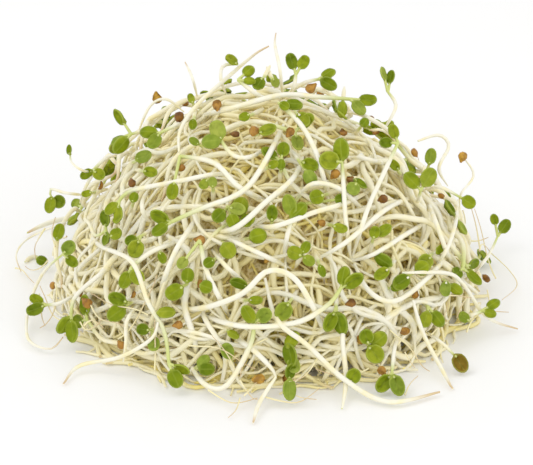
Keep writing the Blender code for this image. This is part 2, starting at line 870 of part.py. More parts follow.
def eased(lifts, step):
    """Heights that rise and fall no faster than a springy stem bends."""
    result = []
    for index in range(len(lifts)):
        best = lifts[index]
        for other, lift in enumerate(lifts):
            away = (index - other) * step
            best = max(best, lift - STEM_SAG * away * away)
        result.append(best)
    return result


def corner_points(mesh):
    """Corners, edge middles and face middles of a mesh."""
    points = [vertex.co.copy() for vertex in mesh.vertices]
    for edge in mesh.edges:
        first, last = edge.vertices
        points.append((mesh.vertices[first].co + mesh.vertices[last].co) / 2.0)
    points += [face.center.copy() for face in mesh.polygons]
    return points


def leaves_lift(meshes, outward, trees):
    """How far out a sprout's leaves must move to be clear."""
    points = [point for mesh in meshes for point in corner_points(mesh)]
    lift = DROP_HEIGHT * 0.6
    while lift > 0.0:
        gap = min(gap_to(point + outward * lift, trees) for point in points)
        if gap < CLEARANCE + 0.0001:
            return lift
        lift -= max(gap - CLEARANCE, 0.00005)
    return 0.0


def loose_sprout(name, base, lifts, leaves, trees, section, home, material):
    """A sprout of its own, laid clear on everything under it."""
    step = 0.001
    base = even_steps(base, step)
    last = len(base) - 1
    normals = [heap_normal(point) for point in base]
    heights = []
    for index, point in enumerate(base):
        wanted = lift_along(lifts, index / last)
        heights.append(resting_lift(point, normals[index], wanted, trees))
    for _ in range(40):
        heights = eased(heights, step)
        way = [raised(base[index] + normals[index] * heights[index])
               for index in range(last + 1)]
        way = even_steps(way, STEM_STEP)
        meshes = sprout_meshes(way, leaves(way), section)
        extra = leaves_lift(meshes[1:], normals[0], trees) if meshes[1:] else 0.0
        heights[0] += extra
        heights[1] += extra
        low = min(vertex.co.z for mesh in meshes for vertex in mesh.vertices)
        if low < 0.0:
            extra += 0.0002 - low
            heights = [height + 0.0002 - low for height in heights]
        stem_low = min(gap_to(point, trees) for point in corner_points(meshes[0]))
        if extra == 0.0 and stem_low > CLEARANCE * 0.8:
            return joined(name, meshes, home, material)
        if stem_low <= CLEARANCE * 0.8:
            heights = [height + 0.0002 for height in heights]
    return None


def back_loose(spot):
    """A loose sprout at the back, from its place and heading."""
    x, y, heading = spot
    start = Vector((x, y, 0.012))
    direction = Vector((math.cos(heading), math.sin(heading), -0.2))
    return wander(start, direction, 0.032, 48.0, 20.0)


def build():
    """Make the heap and its loose sprouts."""
    clear_scene()
    home = bpy.data.collections.new("alfalfa_sprout_heap")
    bpy.context.scene.collection.children.link(home)
    rng = random.Random(SEED)
    section = stem_section()
    stems = make_material("sprout_stem", STEM_COLOUR, 0.45)
    leaves_green = make_material("sprout_leaf", LEAF_COLOUR, 0.5)

    meshes = [core_mesh()]
    for path, lifts, leaves in TANGLED.values():
        way = way_from_view(path, lifts)
        meshes += sprout_meshes(way, leaves_from_view(way[0], leaves), section)
    for index in range(CROSSING_SPROUTS):
        meshes += sprout_meshes(crossing_sprout(index, rng), [], section)
    for index in range(LEAFY_SPROUTS):
        way = leafy_sprout(index, rng)
        if way:
            meshes += sprout_meshes(way, rule_leaves(way, rng), section)
    for across, down in HULLS:
        middle = from_view(across, down, 0.0004)
        face = heap_normal(middle)
        along = Vector((rng.gauss(0, 1), rng.gauss(0, 1), rng.gauss(0, 1)))
        along = (along - face * along.dot(face)).normalized()
        meshes.append(hull_mesh(middle, along, face))
    heap = joined("tangled_sprouts", meshes, home, stems)

    trees = [tree_of(heap.data)]
    for name, (path, lifts, leaves) in LOOSE.items():
        if path:
            base = way_on_heap(path)

            def shapes(way, leaves=leaves):
                return leaves_from_view(way[0], leaves)
        else:
            base = back_loose(lifts)
            lifts = (1.8, 1.3, 1.0)
            seed = rng.random()

            def shapes(way, seed=seed):
                return rule_leaves(way, random.Random(seed))
        material = leaves_green if leaves else stems
        thing = loose_sprout(
            "loose_" + name, base, lifts, shapes, trees, section, home, material)
        if thing:
            trees.append(tree_of(thing.data))
    bpy.data.curves.remove(section.data)


build()
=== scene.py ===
"""A heap of alfalfa sprouts, dressed as it looks close up."""

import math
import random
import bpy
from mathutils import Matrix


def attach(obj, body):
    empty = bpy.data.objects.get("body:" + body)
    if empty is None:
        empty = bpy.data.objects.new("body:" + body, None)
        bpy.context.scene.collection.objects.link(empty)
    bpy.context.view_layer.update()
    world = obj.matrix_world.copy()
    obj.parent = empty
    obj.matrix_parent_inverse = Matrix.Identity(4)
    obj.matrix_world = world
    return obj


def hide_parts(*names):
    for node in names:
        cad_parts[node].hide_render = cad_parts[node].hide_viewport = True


bl_info = {
    "name": "Alfalfa sprout heap",
    "version": (1, 0, 0),
    "blender": (4, 5, 0),
    "location": "View3D > Sidebar > Sprouts",
    "description": "Builds a tangled heap of alfalfa sprouts, piece by piece",
    "category": "Add Mesh",
}

import bpy
import numpy as np
from bpy.props import FloatProperty, FloatVectorProperty, IntProperty, PointerProperty
from mathutils import Matrix, Vector, noise

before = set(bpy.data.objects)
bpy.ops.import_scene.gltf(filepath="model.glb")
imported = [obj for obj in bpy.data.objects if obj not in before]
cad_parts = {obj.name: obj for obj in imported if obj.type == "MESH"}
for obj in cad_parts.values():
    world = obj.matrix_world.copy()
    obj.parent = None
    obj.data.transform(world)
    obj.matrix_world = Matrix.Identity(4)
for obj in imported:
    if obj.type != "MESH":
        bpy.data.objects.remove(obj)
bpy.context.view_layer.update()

MM = 0.001

# The heap's surface: how the dome bulges, and the fillet at its foot
ROUNDNESS = 1.7
FOOT_FILLET = 0.009

# The photograph's view: a step is a photograph pixel at the heap's middle
VIEW_STEP = 0.000225
VIEW_TILT = math.radians(25.0)
VIEW_DISTANCE = 0.5
VIEW_AIM = np.array((0.0, 0.0, 0.0143))
VIEW_MIDDLE = np.array((266.5, 232.5))
FORWARD = np.array((0.0, math.cos(VIEW_TILT), -math.sin(VIEW_TILT)))
RIGHT = np.array((1.0, 0.0, 0.0))
UP = np.array((0.0, math.sin(VIEW_TILT), math.cos(VIEW_TILT)))
FACING_VIEW = 0.22

# Sight lines: the most steps, how near counts as there, and how far back
# they go where they miss the heap
SIGHT_STEPS = 260
SIGHT_TOUCH = 0.00004
BEHIND = 0.024

# Stems that pile up: the grid that finds them again, how fast a stem comes
# down from what it rests on, and how far over it lies what it passes under
PILE_CELL = 0.003
STEM_SAG = 45.0
PASS_UNDER = 0.0032

# Stems read off the view: how much slimmer than read, the distance between
# rings, and how many times deeper than read their ends dive. In mm: the
# deepest dive, the height under which a stretch is hidden and rests on
# nothing, and how far the hidden ends of loose sprouts go in
STEM_SLIMMING = 0.82
FINE_STEP = 0.0012
DIVE_GAIN = 2.6
DEEPEST_DIVE = -9.0
HIDDEN_UNDER = -0.4
TUCK = 2.6

# Along a sprout, from 0 at the leaves to 1 at the root tip: where the neck
# ends, where the stem starts to thin, and where the brown root begins
NECK_END = 0.22
THIN_FROM = 0.72
ROOT_FROM = 0.86

# Stems by rule: the distance between rings, how many tries a line has to keep
# to the heap, its fewest points, where it ends at the foot, how it waves, and
# how much lower the tangle lies at its shoulders
RULE_STEP = 0.0019
RULE_TRIES = 2
FEWEST_POINTS = 8
FOOT_REACH = (0.0485, 0.0550)
WAVES = 1.1
SHOULDER_DIP = 0.0020

# The tangle: lengths, reach and radii of its stems, how far up the heap every
# third one may lie, heights in mm of the deepest and what the last lie above
# it, the highest arch in mm, and how far the ends dive
STEM_LENGTHS = (0.026, 0.046)
STEM_REACH = 0.0520
THICK_RADII = (0.00055, 0.00072)
THIN_RADII = (0.00026, 0.0005)
LOW_SHARE = 0.30
TANGLE_DEPTH = -10.0
TANGLE_RISE = 5.2
HIGHEST_ARCH = 1.4
END_DIVE = 0.0035

# Leafy sprouts by rule: lengths, reach, radii, the share that is left out in
# front, and their heights in mm in front and elsewhere
LEAFY_LENGTHS = (0.024, 0.042)
LEAFY_REACH = 0.0515
LEAFY_RADII = (0.00042, 0.00066)
LEFT_OUT = 0.90
FRONT_TOPS = (-2.6, -1.4)
OTHER_TOPS = (-1.2, 0.2)

# The dim core, coloured with painted shade of the deep tangle: how deep it lies,
# how lumpy it is, and how far its foot draws in
CORE_DEPTH = -0.0098
CORE_LUMPS = 0.0016
CORE_FOOT = 0.016
CORE_DRAW_IN = 0.16
CORE_FLOOR = 0.0006

# Leaves and hulls that a stem would hide: how near it lies, and the step by
# which they are brought towards the view
HIDING_REACH = 0.0011
CLEARING_STEP = 0.0006
LEAF_GAP = 0.0004
LOWEST_LEAF = 0.0008

# Leaves read off the view: the least share of the usual length, the least
# width for the length, how far they face out of the heap, and their slope
SHORTEST_LEAF = 0.55
NARROWEST_LEAF = 0.66
FACING_OUT = 0.30
STEEPEST_LEAF = 0.5

# Seed leaves: how much they cup, fold and curl
LEAF_SHAPES = {
    "flat leaf": (0.07, 0.05, 0.03),
    "folded leaf": (0.12, 0.15, 0.0),
    "domed leaf": (-0.12, -0.03, -0.07),
    "curled leaf": (0.04, 0.08, 0.15),
}
LEAF_SIDES = 18

# Seed hulls: how deep their dent is, how many lie by rule, how big those are
# beside the others, and how deep they lie in front
HULL_DENTS = {"closed hull": 0.04, "open hull": 0.30}
RULE_HULLS = 64
RULE_HULL_SCALE = 0.85
SUNK_HULL = -0.0012

# Fine roots: how many by rule, their lengths and reach, their radii where they
# start and at the tip, and how high they lie on the flat surface
RULE_ROOTS = 44
ROOT_LENGTHS = (0.008, 0.020)
ROOT_REACH = 0.056
ROOT_RADII = (0.00016, 0.00024)
ROOT_TIP = 0.00009
ROOT_REST = 0.0002

# Sprouts behind: length, radius, bend and wave
BACK_LENGTH = 0.032
BACK_RADIUS = 0.00065
BACK_BEND = 48.0
BACK_WAVE = 20.0

# Lights: place, width and power in watts
LAMPS = {
    "key_light": ((-0.45, -0.25, 0.75), 0.5, 1.3),
    "fill_light": ((0.55, -0.55, 0.45), 0.6, 1.0),
}
LAMP_AIM = Vector((0.0, 0.0, 0.02))
SKY_STRENGTH = 0.92
VIEW_GAMMA = 1.24
LENS = 150.0

# Sprouts that are part of the tangle: way from the leaves to the root end in
# view steps, heights over the heap in mm at the leaves, half way and at the
# root end, stem radius in mm, and the leaves as middle, length and width
TANGLED = [
    ([(66, 222), (50, 228), (26, 240), (16, 255), (21, 272)], (-6, 3.4, 1.5), 0.3, []),
    ([(179, 152), (180, 131), (196, 106), (229, 76), (255, 54), (269, 46)],
     (0.5, 0.8, 1.5), 0.6, []),
    ([(180, 156), (214, 163), (239, 187), (270, 202)], (-0.5, 1.2, -3), 0.7,
     [(174, 190, 17, 11)]),
    ([(138, 132), (150, 106), (166, 99), (184, 112)], (-2, 1.6, -3), 0.4, []),
    ([(221, 140), (226, 148), (233, 155), (243, 158), (255, 155), (264, 148)],
     (1.4, 1.0, -3), 0.6, [(218, 131, 19, 15), (212, 141, 18, 14)]),
    ([(160, 133), (180, 123), (192, 118)], (1.4, 0.8, -3), 0.6,
     [(149, 132, 18, 12), (155, 141, 17, 13)]),
    ([(93, 170), (106, 158), (120, 155)], (1.6, 0.8, -3), 0.5,
     [(87, 174, 14, 9), (101, 175, 13, 11)]),
    ([(52, 199), (50, 189), (66, 193), (86, 195)], (4.0, 2.0, -3), 0.45,
     [(51, 205, 17, 12), (60, 202, 14, 13)]),
    ([(70, 154), (72, 163), (84, 171), (97, 170)], (6.5, 3.0, -3), 0.35,
     [(70, 150, 10, 6)]),
    ([(131, 134), (142, 131), (152, 128)], (2.0, 0.8, -3), 0.5,
     [(120, 117, 18, 6), (118, 139, 16, 7), (122, 145, 20, 8)]),
    ([(283, 100), (280, 70), (275, 45), (276, 33)], (-4, 1.5, 8.0), 0.45, []),
    ([(197, 96), (192, 77), (185, 62)], (-4, 1.0, 5.0), 0.4, []),
    ([(296, 74), (294, 86), (288, 98)], (2.5, 0.8, -3), 0.55,
     [(292, 62, 17, 11), (303, 63, 15, 11)]),
    ([(319, 79), (304, 83), (288, 93)], (1.8, 0.8, -3), 0.55,
     [(328, 73, 16, 10), (328, 84, 18, 11)]),
    ([(237, 64), (223, 66), (221, 80), (226, 94)], (3.0, 1.5, -3), 0.5,
     [(232, 60, 14, 8)]),
    ([(238, 80), (258, 95), (272, 101)], (1.2, 0.8, -3), 0.6,
     [(248, 71, 13, 11), (249, 81, 12, 8)]),
    ([(299, 161), (291, 150)], (0.8, -1.6, -3), 0.55,
     [(309, 165, 16, 12), (309, 177, 16, 12)]),
    ([(388, 92), (396, 106), (385, 128)], (3.0, 1.5, -3), 0.5,
     [(391, 77, 15, 6), (383, 74, 15, 6)]),
    ([(418, 141), (439, 135), (449, 146), (439, 168), (448, 186)], (-3, 2.6, -3), 0.5, []),
    ([(464, 158), (474, 175), (461, 194), (460, 208)], (4.5, 3.0, -3), 0.35, []),
    ([(428, 168), (424, 180)], (1.6, -2, -4), 0.5, [(430, 157, 17, 10)]),
    ([(421, 190), (416, 208)], (1.8, -0.5, -4), 0.55,
     [(412, 181, 19, 14), (428, 178, 20, 15)]),
    ([(460, 197), (440, 187), (424, 190)], (2.0, 1.0, -3), 0.5, [(468, 202, 15, 13)]),
    ([(498, 236), (487, 258), (470, 276)], (3.2, 1.5, -3), 0.5,
     [(505, 226, 17, 12), (494, 219, 12, 9)]),
    ([(131, 268), (151, 252), (182, 240)], (1.4, 1.0, -3), 0.65,
     [(126, 279, 17, 12), (137, 276, 16, 13)]),
    ([(141, 236), (158, 225)], (1.2, -2, -4), 0.5, [(132, 240, 12, 10), (137, 248, 17, 15)]),
    ([(228, 207), (226, 200)], (0.8, -2, -4), 0.5,
     [(220, 215, 14, 13), (237, 209, 15, 11), (233, 220, 14, 12)]),
    ([(293, 217), (288, 232), (284, 256)], (1.6, 0.8, -3), 0.65,
     [(290, 206, 20, 12), (298, 212, 20, 13)]),
    ([(293, 205), (312, 184), (340, 189), (367, 215)], (-3, 1.6, -3), 0.65,
     [(337, 200, 12, 10)]),
    ([(200, 240), (207, 272), (224, 306), (231, 320)], (0.9, 0.9, -3), 0.7,
     [(184, 261, 12, 10)]),
    ([(218, 234), (250, 249), (290, 268)], (-3, 0.9, -3), 0.65, [(228, 249, 16, 15)]),
    ([(288, 345), (278, 334)], (1.6, -2, -4), 0.5,
     [(291, 340, 18, 11), (290, 353, 22, 11), (293, 363, 15, 12)]),
    ([(289, 377), (290, 366)], (1.6, -2, -4), 0.5, [(289, 387, 20, 12), (290, 371, 16, 9)]),
    ([(336, 308), (338, 291)], (1.2, -2, -4), 0.6,
     [(330, 320, 19, 12), (339, 322, 21, 12)]),
    ([(358, 310), (343, 331), (346, 379), (342, 410)], (-3, 1.0, 0.8), 0.65, []),
    ([(369, 347), (360, 330)], (1.4, -2, -4), 0.6,
     [(366, 337, 14, 13), (378, 340, 17, 14), (374, 353, 18, 16)]),
    ([(428, 307), (413, 296)], (1.6, -2, -4), 0.55,
     [(425, 318, 16, 12), (437, 318, 18, 12)]),
    ([(445, 281), (434, 272)], (1.6, -2, -4), 0.5, [(444, 288, 15, 11), (455, 289, 15, 9)]),
    ([(391, 266), (400, 254)], (1.2, -2, -4), 0.5, [(383, 261, 18, 11), (381, 273, 16, 10)]),
    ([(408, 276), (418, 262)], (1.2, -2, -4), 0.5, [(400, 281, 19, 14), (421, 268, 15, 14)]),
    ([(430, 220), (405, 235), (372, 255), (345, 262)], (-3, 0.9, -3), 0.65,
     [(413, 246, 14, 13)]),
    ([(302, 256), (312, 247)], (1.0, -2, -4), 0.5, [(295, 253, 14, 13), (308, 260, 12, 10)]),
    ([(130, 303), (143, 299)], (1.4, -2, -4), 0.5, [(119, 299, 18, 12), (118, 312, 20, 15)]),
    ([(187, 284), (196, 276)], (1.2, -2, -4), 0.5, [(188, 276, 14, 12), (176, 291, 18, 15)]),
    ([(152, 330), (160, 321)], (1.2, -2, -4), 0.5, [(144, 329, 12, 11), (154, 342, 14, 12)]),
    ([(196, 368), (184, 374)], (1.6, -2, -4), 0.5, [(203, 361, 14, 10), (206, 368, 15, 12)]),
    ([(200, 213), (190, 228), (175, 252), (163, 283), (160, 300)], (-3, 1.2, -3), 0.75, []),
    ([(345, 113), (360, 114), (384, 127), (396, 140)], (-3, 0.8, -3), 0.6, []),
    ([(148, 190), (142, 203), (145, 217), (152, 222)], (-3, 1.0, -3), 0.6, []),
    ([(348, 157), (362, 158), (375, 161), (388, 165)], (-3, 0.8, -3), 0.6, []),
    ([(425, 195), (436, 222), (446, 250), (455, 272)], (-3, 0.9, -3), 0.65, []),
    ([(143, 300), (127, 320), (126, 342), (123, 362)], (-3, 1.0, 0.8), 0.55, []),
    ([(458, 200), (455, 226), (446, 251), (431, 273)], (-3, 0.9, -3), 0.55, []),
    ([(105, 157), (97, 167), (84, 190), (80, 203)], (-3, 0.8, -3), 0.5, []),
    ([(212, 250), (222, 262), (232, 272), (245, 282)], (-3, 0.8, -3), 0.6, []),
    ([(230, 335), (253, 350), (271, 368), (276, 377)], (-3, 1.4, 0.9), 0.7, []),
]

# Sprouts that lie loose, by the name of their solid
LOOSE = {
    "left_upper": ([(119, 201), (131, 191), (175, 182), (220, 174), (243, 181)],
                   (1.0, 1.0, 1.1), 0.65, [(112, 208, 15, 10), (119, 214, 18, 9)]),
    "crown_arch": ([(350, 99), (320, 97), (281, 95), (232, 108), (188, 119)],
                   (1.0, 1.2, 1.1), 0.72, [(367, 100, 18, 12), (358, 108, 17, 12)]),
    "crown_diagonal": ([(279, 103), (301, 125), (317, 155), (327, 193), (329, 206)],
                       (0.8, 1.0, 1.1), 0.7, [(293, 104, 17, 11), (284, 106, 10, 9)]),
    "left_diagonal": ([(169, 364), (164, 331), (148, 302), (132, 262), (99, 245), (84, 225)],
                      (1.2, 1.0, -1.2), 0.65, [(175, 377, 18, 14), (181, 368, 16, 7)]),
    "front_heart": ([(254, 323), (250, 346), (226, 386), (203, 383), (184, 352)],
                    (1.5, 0.8, 1.1), 0.7, [(249, 315, 18, 12), (263, 316, 15, 13)]),
    "low_pair": ([(341, 288), (328, 305), (295, 323), (240, 326), (190, 311)],
                 (1.5, 1.1, 1.1), 0.72, [(343, 277, 18, 11), (352, 281, 20, 12)]),
    "middle_long": ([(238, 220), (270, 227), (315, 212), (345, 203), (374, 189)],
                    (1.1, 0.9, 1.1), 0.7, []),
    "tall_pair": ([(342, 162), (344, 192), (346, 222), (351, 260)],
                  (1.6, 1.0, 1.1), 0.6, [(341, 150, 22, 14), (330, 161, 19, 17)]),
    "right_serpentine": ([(352, 258), (370, 292), (398, 300), (438, 267), (449, 243)],
                         (1.1, 1.2, 1.1), 0.7, []),
    "right_strand": ([(418, 196), (388, 208), (345, 243), (308, 264)],
                     (1.1, 1.1, 1.1), 0.7, []),
    "long_curve": ([(171, 222), (200, 209), (240, 193), (262, 167), (287, 118)],
                   (1.4, 1.4, 1.4), 0.72, [(161, 217, 19, 11), (161, 229, 17, 11)]),
    "bright_bow": ([(304, 152), (294, 177), (265, 203), (233, 229), (200, 230)],
                   (1.2, 1.4, 1.4), 0.75, []),
    "big_arch": ([(160, 302), (195, 309), (240, 295), (268, 271), (296, 280),
                  (320, 322), (332, 357)], (1.2, 1.6, 1.6), 0.78, []),
    "right_shoulder": ([(398, 143), (382, 177), (368, 208), (352, 258)],
                       (2.0, 1.2, 1.2), 0.65, [(394, 132, 15, 9), (386, 143, 13, 10)]),
    "front_tail": ([(276, 377), (259, 404), (253, 424)], (1.6, 1.2, 0.8), 0.6, []),
    "front_right_tail": ([(265, 278), (277, 320), (307, 345), (345, 380), (388, 402),
                          (440, 392)], (-1.4, 1.4, 0.8), 0.7, []),
    "front_right_pair": ([(392, 373), (395, 346), (402, 334)], (1.6, 1.2, 1.2), 0.55,
                         [(384, 382, 19, 13), (396, 384, 20, 13)]),
    "right_root": ([(413, 300), (423, 333), (445, 375), (453, 390)],
                   (1.6, 1.2, 0.8), 0.6, []),
    "brown_leaf": ([(455, 356), (442, 343), (426, 332)], (1.8, 1.6, 1.4), 0.45,
                   [(459, 363, 19, 14)]),
    "right_tail": ([(402, 273), (446, 273), (463, 284), (487, 317), (518, 329)],
                   (1.4, 1.6, 0.8), 0.55, []),
    "right_table_pair": ([(482, 311), (470, 315), (458, 312)], (1.4, 1.4, 1.4), 0.5,
                         [(493, 304, 15, 9), (490, 313, 13, 9)]),
    "left_big_loop": ([(63, 254), (43, 273), (29, 306), (28, 339), (50, 349), (63, 337)],
                      (4.0, 1.5, 0.8), 0.45, [(69, 248, 15, 13), (72, 261, 14, 10)]),
    "table_pair": ([(46, 305), (60, 303), (78, 293)], (1.2, 1.2, 1.6), 0.55,
                   [(37, 300, 15, 10), (36, 309, 18, 12)]),
    "front_left_pair": ([(71, 315), (75, 297), (98, 276), (118, 262)], (1.4, 1.2, 1.4),
                        0.6, [(65, 325, 19, 9), (73, 330, 22, 13)]),
    "front_left_tail": ([(158, 322), (151, 339), (120, 357), (79, 366), (63, 385)],
                        (1.6, 1.2, 0.8), 0.55, []),
}

# Loose sprouts whose brown root tips are seen
ROOT_TIPS = (
    "front_tail", "front_left_tail", "front_right_tail", "right_root", "right_tail",
    "left_big_loop",
)

# Loose sprouts behind, by the name of their solid: place and heading
BACK_LOOSE = {
    "back_left_loose": (-0.036, 0.040, 2.4),
    "back_right_loose": (0.041, 0.035, 0.6),
    "back_loose": (0.004, 0.052, 3.0),
}

# Hair-thin roots seen near the foot, in view steps
FINE_ROOTS = [
    [(80, 322), (86, 330), (96, 326), (102, 318)],
    [(84, 326), (92, 320), (104, 328)],
    [(240, 380), (246, 390), (252, 398), (258, 400)],
    [(244, 396), (252, 388), (260, 378)],
    [(405, 352), (409, 360), (415, 368)],
    [(208, 390), (232, 403), (258, 398)],
    [(262, 396), (280, 401), (300, 402), (320, 388)],
    [(490, 252), (510, 271), (517, 286), (502, 300)],
    [(15, 268), (22, 270), (28, 277), (34, 283)],
    [(45, 228), (35, 246), (36, 260)],
    [(240, 398), (236, 410), (228, 418)],
    [(405, 395), (410, 384), (418, 376)],
]

# Brown seed hulls that stand out, in view steps
HULLS = [
    (157, 98), (179, 117), (217, 105), (290, 132), (254, 131), (383, 199), (462, 157),
    (87, 303), (178, 325), (405, 331), (382, 371), (351, 303), (259, 379), (200, 240),
    (311, 88), (335, 174), (121, 345),
]

# Leaves whose stems are hidden in the tangle: middle, length, width
SINGLE_LEAVES = [
    (135, 198, 10, 9), (118, 234, 13, 11), (89, 194, 9, 7), (145, 158, 17, 12),
    (152, 173, 14, 10), (205, 184, 11, 9), (213, 183, 10, 8), (273, 165, 8, 8),
    (281, 165, 8, 8), (272, 214, 15, 10), (257, 236, 16, 14), (305, 248, 12, 9),
    (210, 262, 11, 10), (317, 197, 14, 14), (352, 189, 13, 13), (359, 184, 14, 6),
    (393, 166, 13, 7), (423, 261, 15, 14), (437, 249, 12, 7), (383, 231, 16, 10),
    (374, 233, 12, 10), (339, 228, 14, 9), (321, 270, 12, 7), (284, 310, 18, 15),
    (255, 300, 13, 8), (228, 351, 16, 12), (206, 286, 12, 12), (240, 283, 17, 9),
    (233, 333, 12, 7), (192, 100, 9, 7), (194, 126, 11, 8), (195, 142, 11, 7),
    (245, 118, 11, 9), (302, 121, 15, 13), (267, 131, 17, 11), (342, 111, 17, 9),
    (364, 123, 9, 9), (259, 86, 15, 12), (275, 85, 10, 8), (163, 257, 12, 8),
    (60, 232, 17, 12), (45, 260, 12, 10), (461, 316, 13, 10),
    (352, 375, 14, 13), (166, 311, 17, 10), (395, 287, 11, 8),
]


class SproutHeapSettings(bpy.types.PropertyGroup):
    """Sizes and colours of the heap."""

    heap_radius: FloatProperty(
        name="Heap radius", description="Radius of the dense heap at its foot",
        default=0.050, min=0.02, max=0.2, unit="LENGTH")
    heap_depth: FloatProperty(
        name="Heap depth", description="Radius of the heap from front to back",
        default=0.049, min=0.02, max=0.2, unit="LENGTH")
    heap_height: FloatProperty(
        name="Heap height", description="Height of the dense heap",
        default=0.050, min=0.02, max=0.2, unit="LENGTH")
    leaf_length: FloatProperty(
        name="Leaf length", description="Length of a seed leaf",
        default=0.0042, min=0.002, max=0.01, unit="LENGTH")
    leaf_width: FloatProperty(
        name="Leaf width", description="Width of a seed leaf",
        default=0.0032, min=0.001, max=0.01, unit="LENGTH")
    leaf_thickness: FloatProperty(
        name="Leaf thickness", description="Thickness of a seed leaf",
        default=0.00042, min=0.0002, max=0.001, unit="LENGTH")
    hull_length: FloatProperty(
        name="Hull length", description="Length of a seed hull",
        default=0.0027, min=0.001, max=0.006, unit="LENGTH")
    tangle_stems: IntProperty(
        name="Tangle stems", description="Number of stems in the tangle",
        default=1200, min=50, max=3000)
    leafy_sprouts: IntProperty(
        name="Leafy sprouts", description="Sprouts by rule that show their leaves",
        default=210, min=0, max=600)
    stem_colour: FloatVectorProperty(
        name="Stem", description="Colour of the pale stems", subtype="COLOR",
        size=4, default=(0.950, 0.885, 0.60, 1.0), min=0.0, max=1.0)
    neck_colour: FloatVectorProperty(
        name="Neck", description="Colour of a stem just under its leaves",
        subtype="COLOR", size=4, default=(0.60, 0.66, 0.17, 1.0), min=0.0, max=1.0)
    root_colour: FloatVectorProperty(
        name="Root", description="Colour of the root end", subtype="COLOR",
        size=4, default=(0.66, 0.46, 0.22, 1.0), min=0.0, max=1.0)
    leaf_colour: FloatVectorProperty(
        name="Leaf", description="Colour of the seed leaves", subtype="COLOR",
        size=4, default=(0.196, 0.262, 0.003, 1.0), min=0.0, max=1.0)
    leaf_rim_colour: FloatVectorProperty(
        name="Leaf rim", description="Colour of the leaves' rim and rib",
        subtype="COLOR", size=4, default=(0.44, 0.52, 0.07, 1.0), min=0.0, max=1.0)
    hull_colour: FloatVectorProperty(
        name="Hull", description="Colour of the seed hulls", subtype="COLOR",
        size=4, default=(0.36, 0.150, 0.012, 1.0), min=0.0, max=1.0)
    floor_colour: FloatVectorProperty(
        name="Floor", description="Colour of the floor", subtype="COLOR",
        size=4, default=(0.96, 0.96, 0.955, 1.0), min=0.0, max=1.0)


def settings():
    """The heap's settings in this scene."""
    return bpy.context.scene.sprout_heap


# The heap's surface, for one point or many

def dome_distance(points):
    """Rough distance to the dome, less than 0 inside it."""
    heap = settings()
    across = np.hypot(points[..., 0] / heap.heap_radius, points[..., 1] / heap.heap_depth)
    up = np.abs(points[..., 2]) / heap.heap_height
    level = (across ** ROUNDNESS + up ** ROUNDNESS) ** (1.0 / ROUNDNESS)
    size = np.linalg.norm(points, axis=-1)
    return size * (1.0 - 1.0 / np.maximum(level, 1e-6))


def heap_distance(points):
    """Distance to the dome and the flat surface, blended at the foot."""
    dome = dome_distance(points)
    height = points[..., 2]
    blend = np.maximum(FOOT_FILLET - np.abs(dome - height), 0.0) / FOOT_FILLET
    return np.minimum(dome, height) - blend * blend * FOOT_FILLET / 4.0


def unit(vectors):
    """Vectors of length 1."""
    return vectors / np.maximum(np.linalg.norm(vectors, axis=-1, keepdims=True), 1e-12)


def heap_normal(points):
    """Direction straight out of the heap."""
    step = 0.0002
    slopes = []
    for axis in range(3):
        shift = np.zeros(3)
        shift[axis] = step
        slopes.append(heap_distance(points + shift) - heap_distance(points - shift))
    return unit(np.stack(slopes, axis=-1))


def onto_heap(points, lifts):
    """Move points straight in or out to their heights over the heap."""
    for _ in range(6):
        error = heap_distance(points) - lifts
        points = points - heap_normal(points) * error[..., None]
    return points


# The view

def sight_lines(places):
    """Start and directions of the sight lines through places in the view."""
    eye = VIEW_AIM - FORWARD * VIEW_DISTANCE
    offset = (places - VIEW_MIDDLE) * VIEW_STEP / VIEW_DISTANCE
    ways = FORWARD + RIGHT * offset[..., :1] - UP * offset[..., 1:]
    return eye, unit(ways)


def evened(values, rounds):
    """Values smoothed along a way."""
    for _ in range(rounds):
        padded = np.concatenate((values[:1], values, values[-1:]))
        values = padded[:-2] * 0.25 + padded[1:-1] * 0.5 + padded[2:] * 0.25
    return values


def from_view(places, lifts):
    """Points over the heap that are seen at places in the view."""
    eye, ways = sight_lines(places)
    travel = np.full(len(places), VIEW_DISTANCE - 0.10)
    nearest = np.full(len(places), np.inf)
    nearest_travel = travel.copy()
    for _ in range(SIGHT_STEPS):
        points = eye + ways * travel[:, None]
        gaps = heap_distance(points) - lifts
        domes = dome_distance(points)
        closer = domes < nearest
        nearest = np.where(closer, domes, nearest)
        nearest_travel = np.where(closer, travel, nearest_travel)
        going = (gaps > SIGHT_TOUCH) & (points[:, 1] < BEHIND)
        going &= travel < VIEW_DISTANCE + 0.06
        if not going.any():
            break
        travel = travel + np.where(going, np.maximum(gaps * 0.7, 0.0001), 0.0)
    beyond = (eye + ways * travel[:, None])[:, 1] >= BEHIND
    travel = evened(np.where(beyond, nearest_travel, travel), 6)
    return eye + ways * travel[:, None]


def in_view(point):
    """Where a point is seen in the view."""
    offset = point - (VIEW_AIM - FORWARD * VIEW_DISTANCE)
    scale = VIEW_DISTANCE / (offset @ FORWARD * VIEW_STEP)
    return VIEW_MIDDLE + np.array((offset @ RIGHT, -(offset @ UP))) * scale


# Ways of stems

def smooth_way(points, step):
    """A smooth curve through points, read off at an even step."""
    points = np.asarray(points, float)
    last = len(points) - 1
    dense = []
    for index in range(last):
        before, start = points[max(index - 1, 0)], points[index]
        end, after = points[index + 1], points[min(index + 2, last)]
        for t in np.linspace(0.0, 1.0, 12, endpoint=False):
            dense.append(0.5 * (
                2.0 * start + (end - before) * t
                + (2.0 * before - 5.0 * start + 4.0 * end - after) * t * t
                + (3.0 * start - before - 3.0 * end + after) * t ** 3
            ))
    dense.append(points[-1])
    return even_steps(np.array(dense), step)


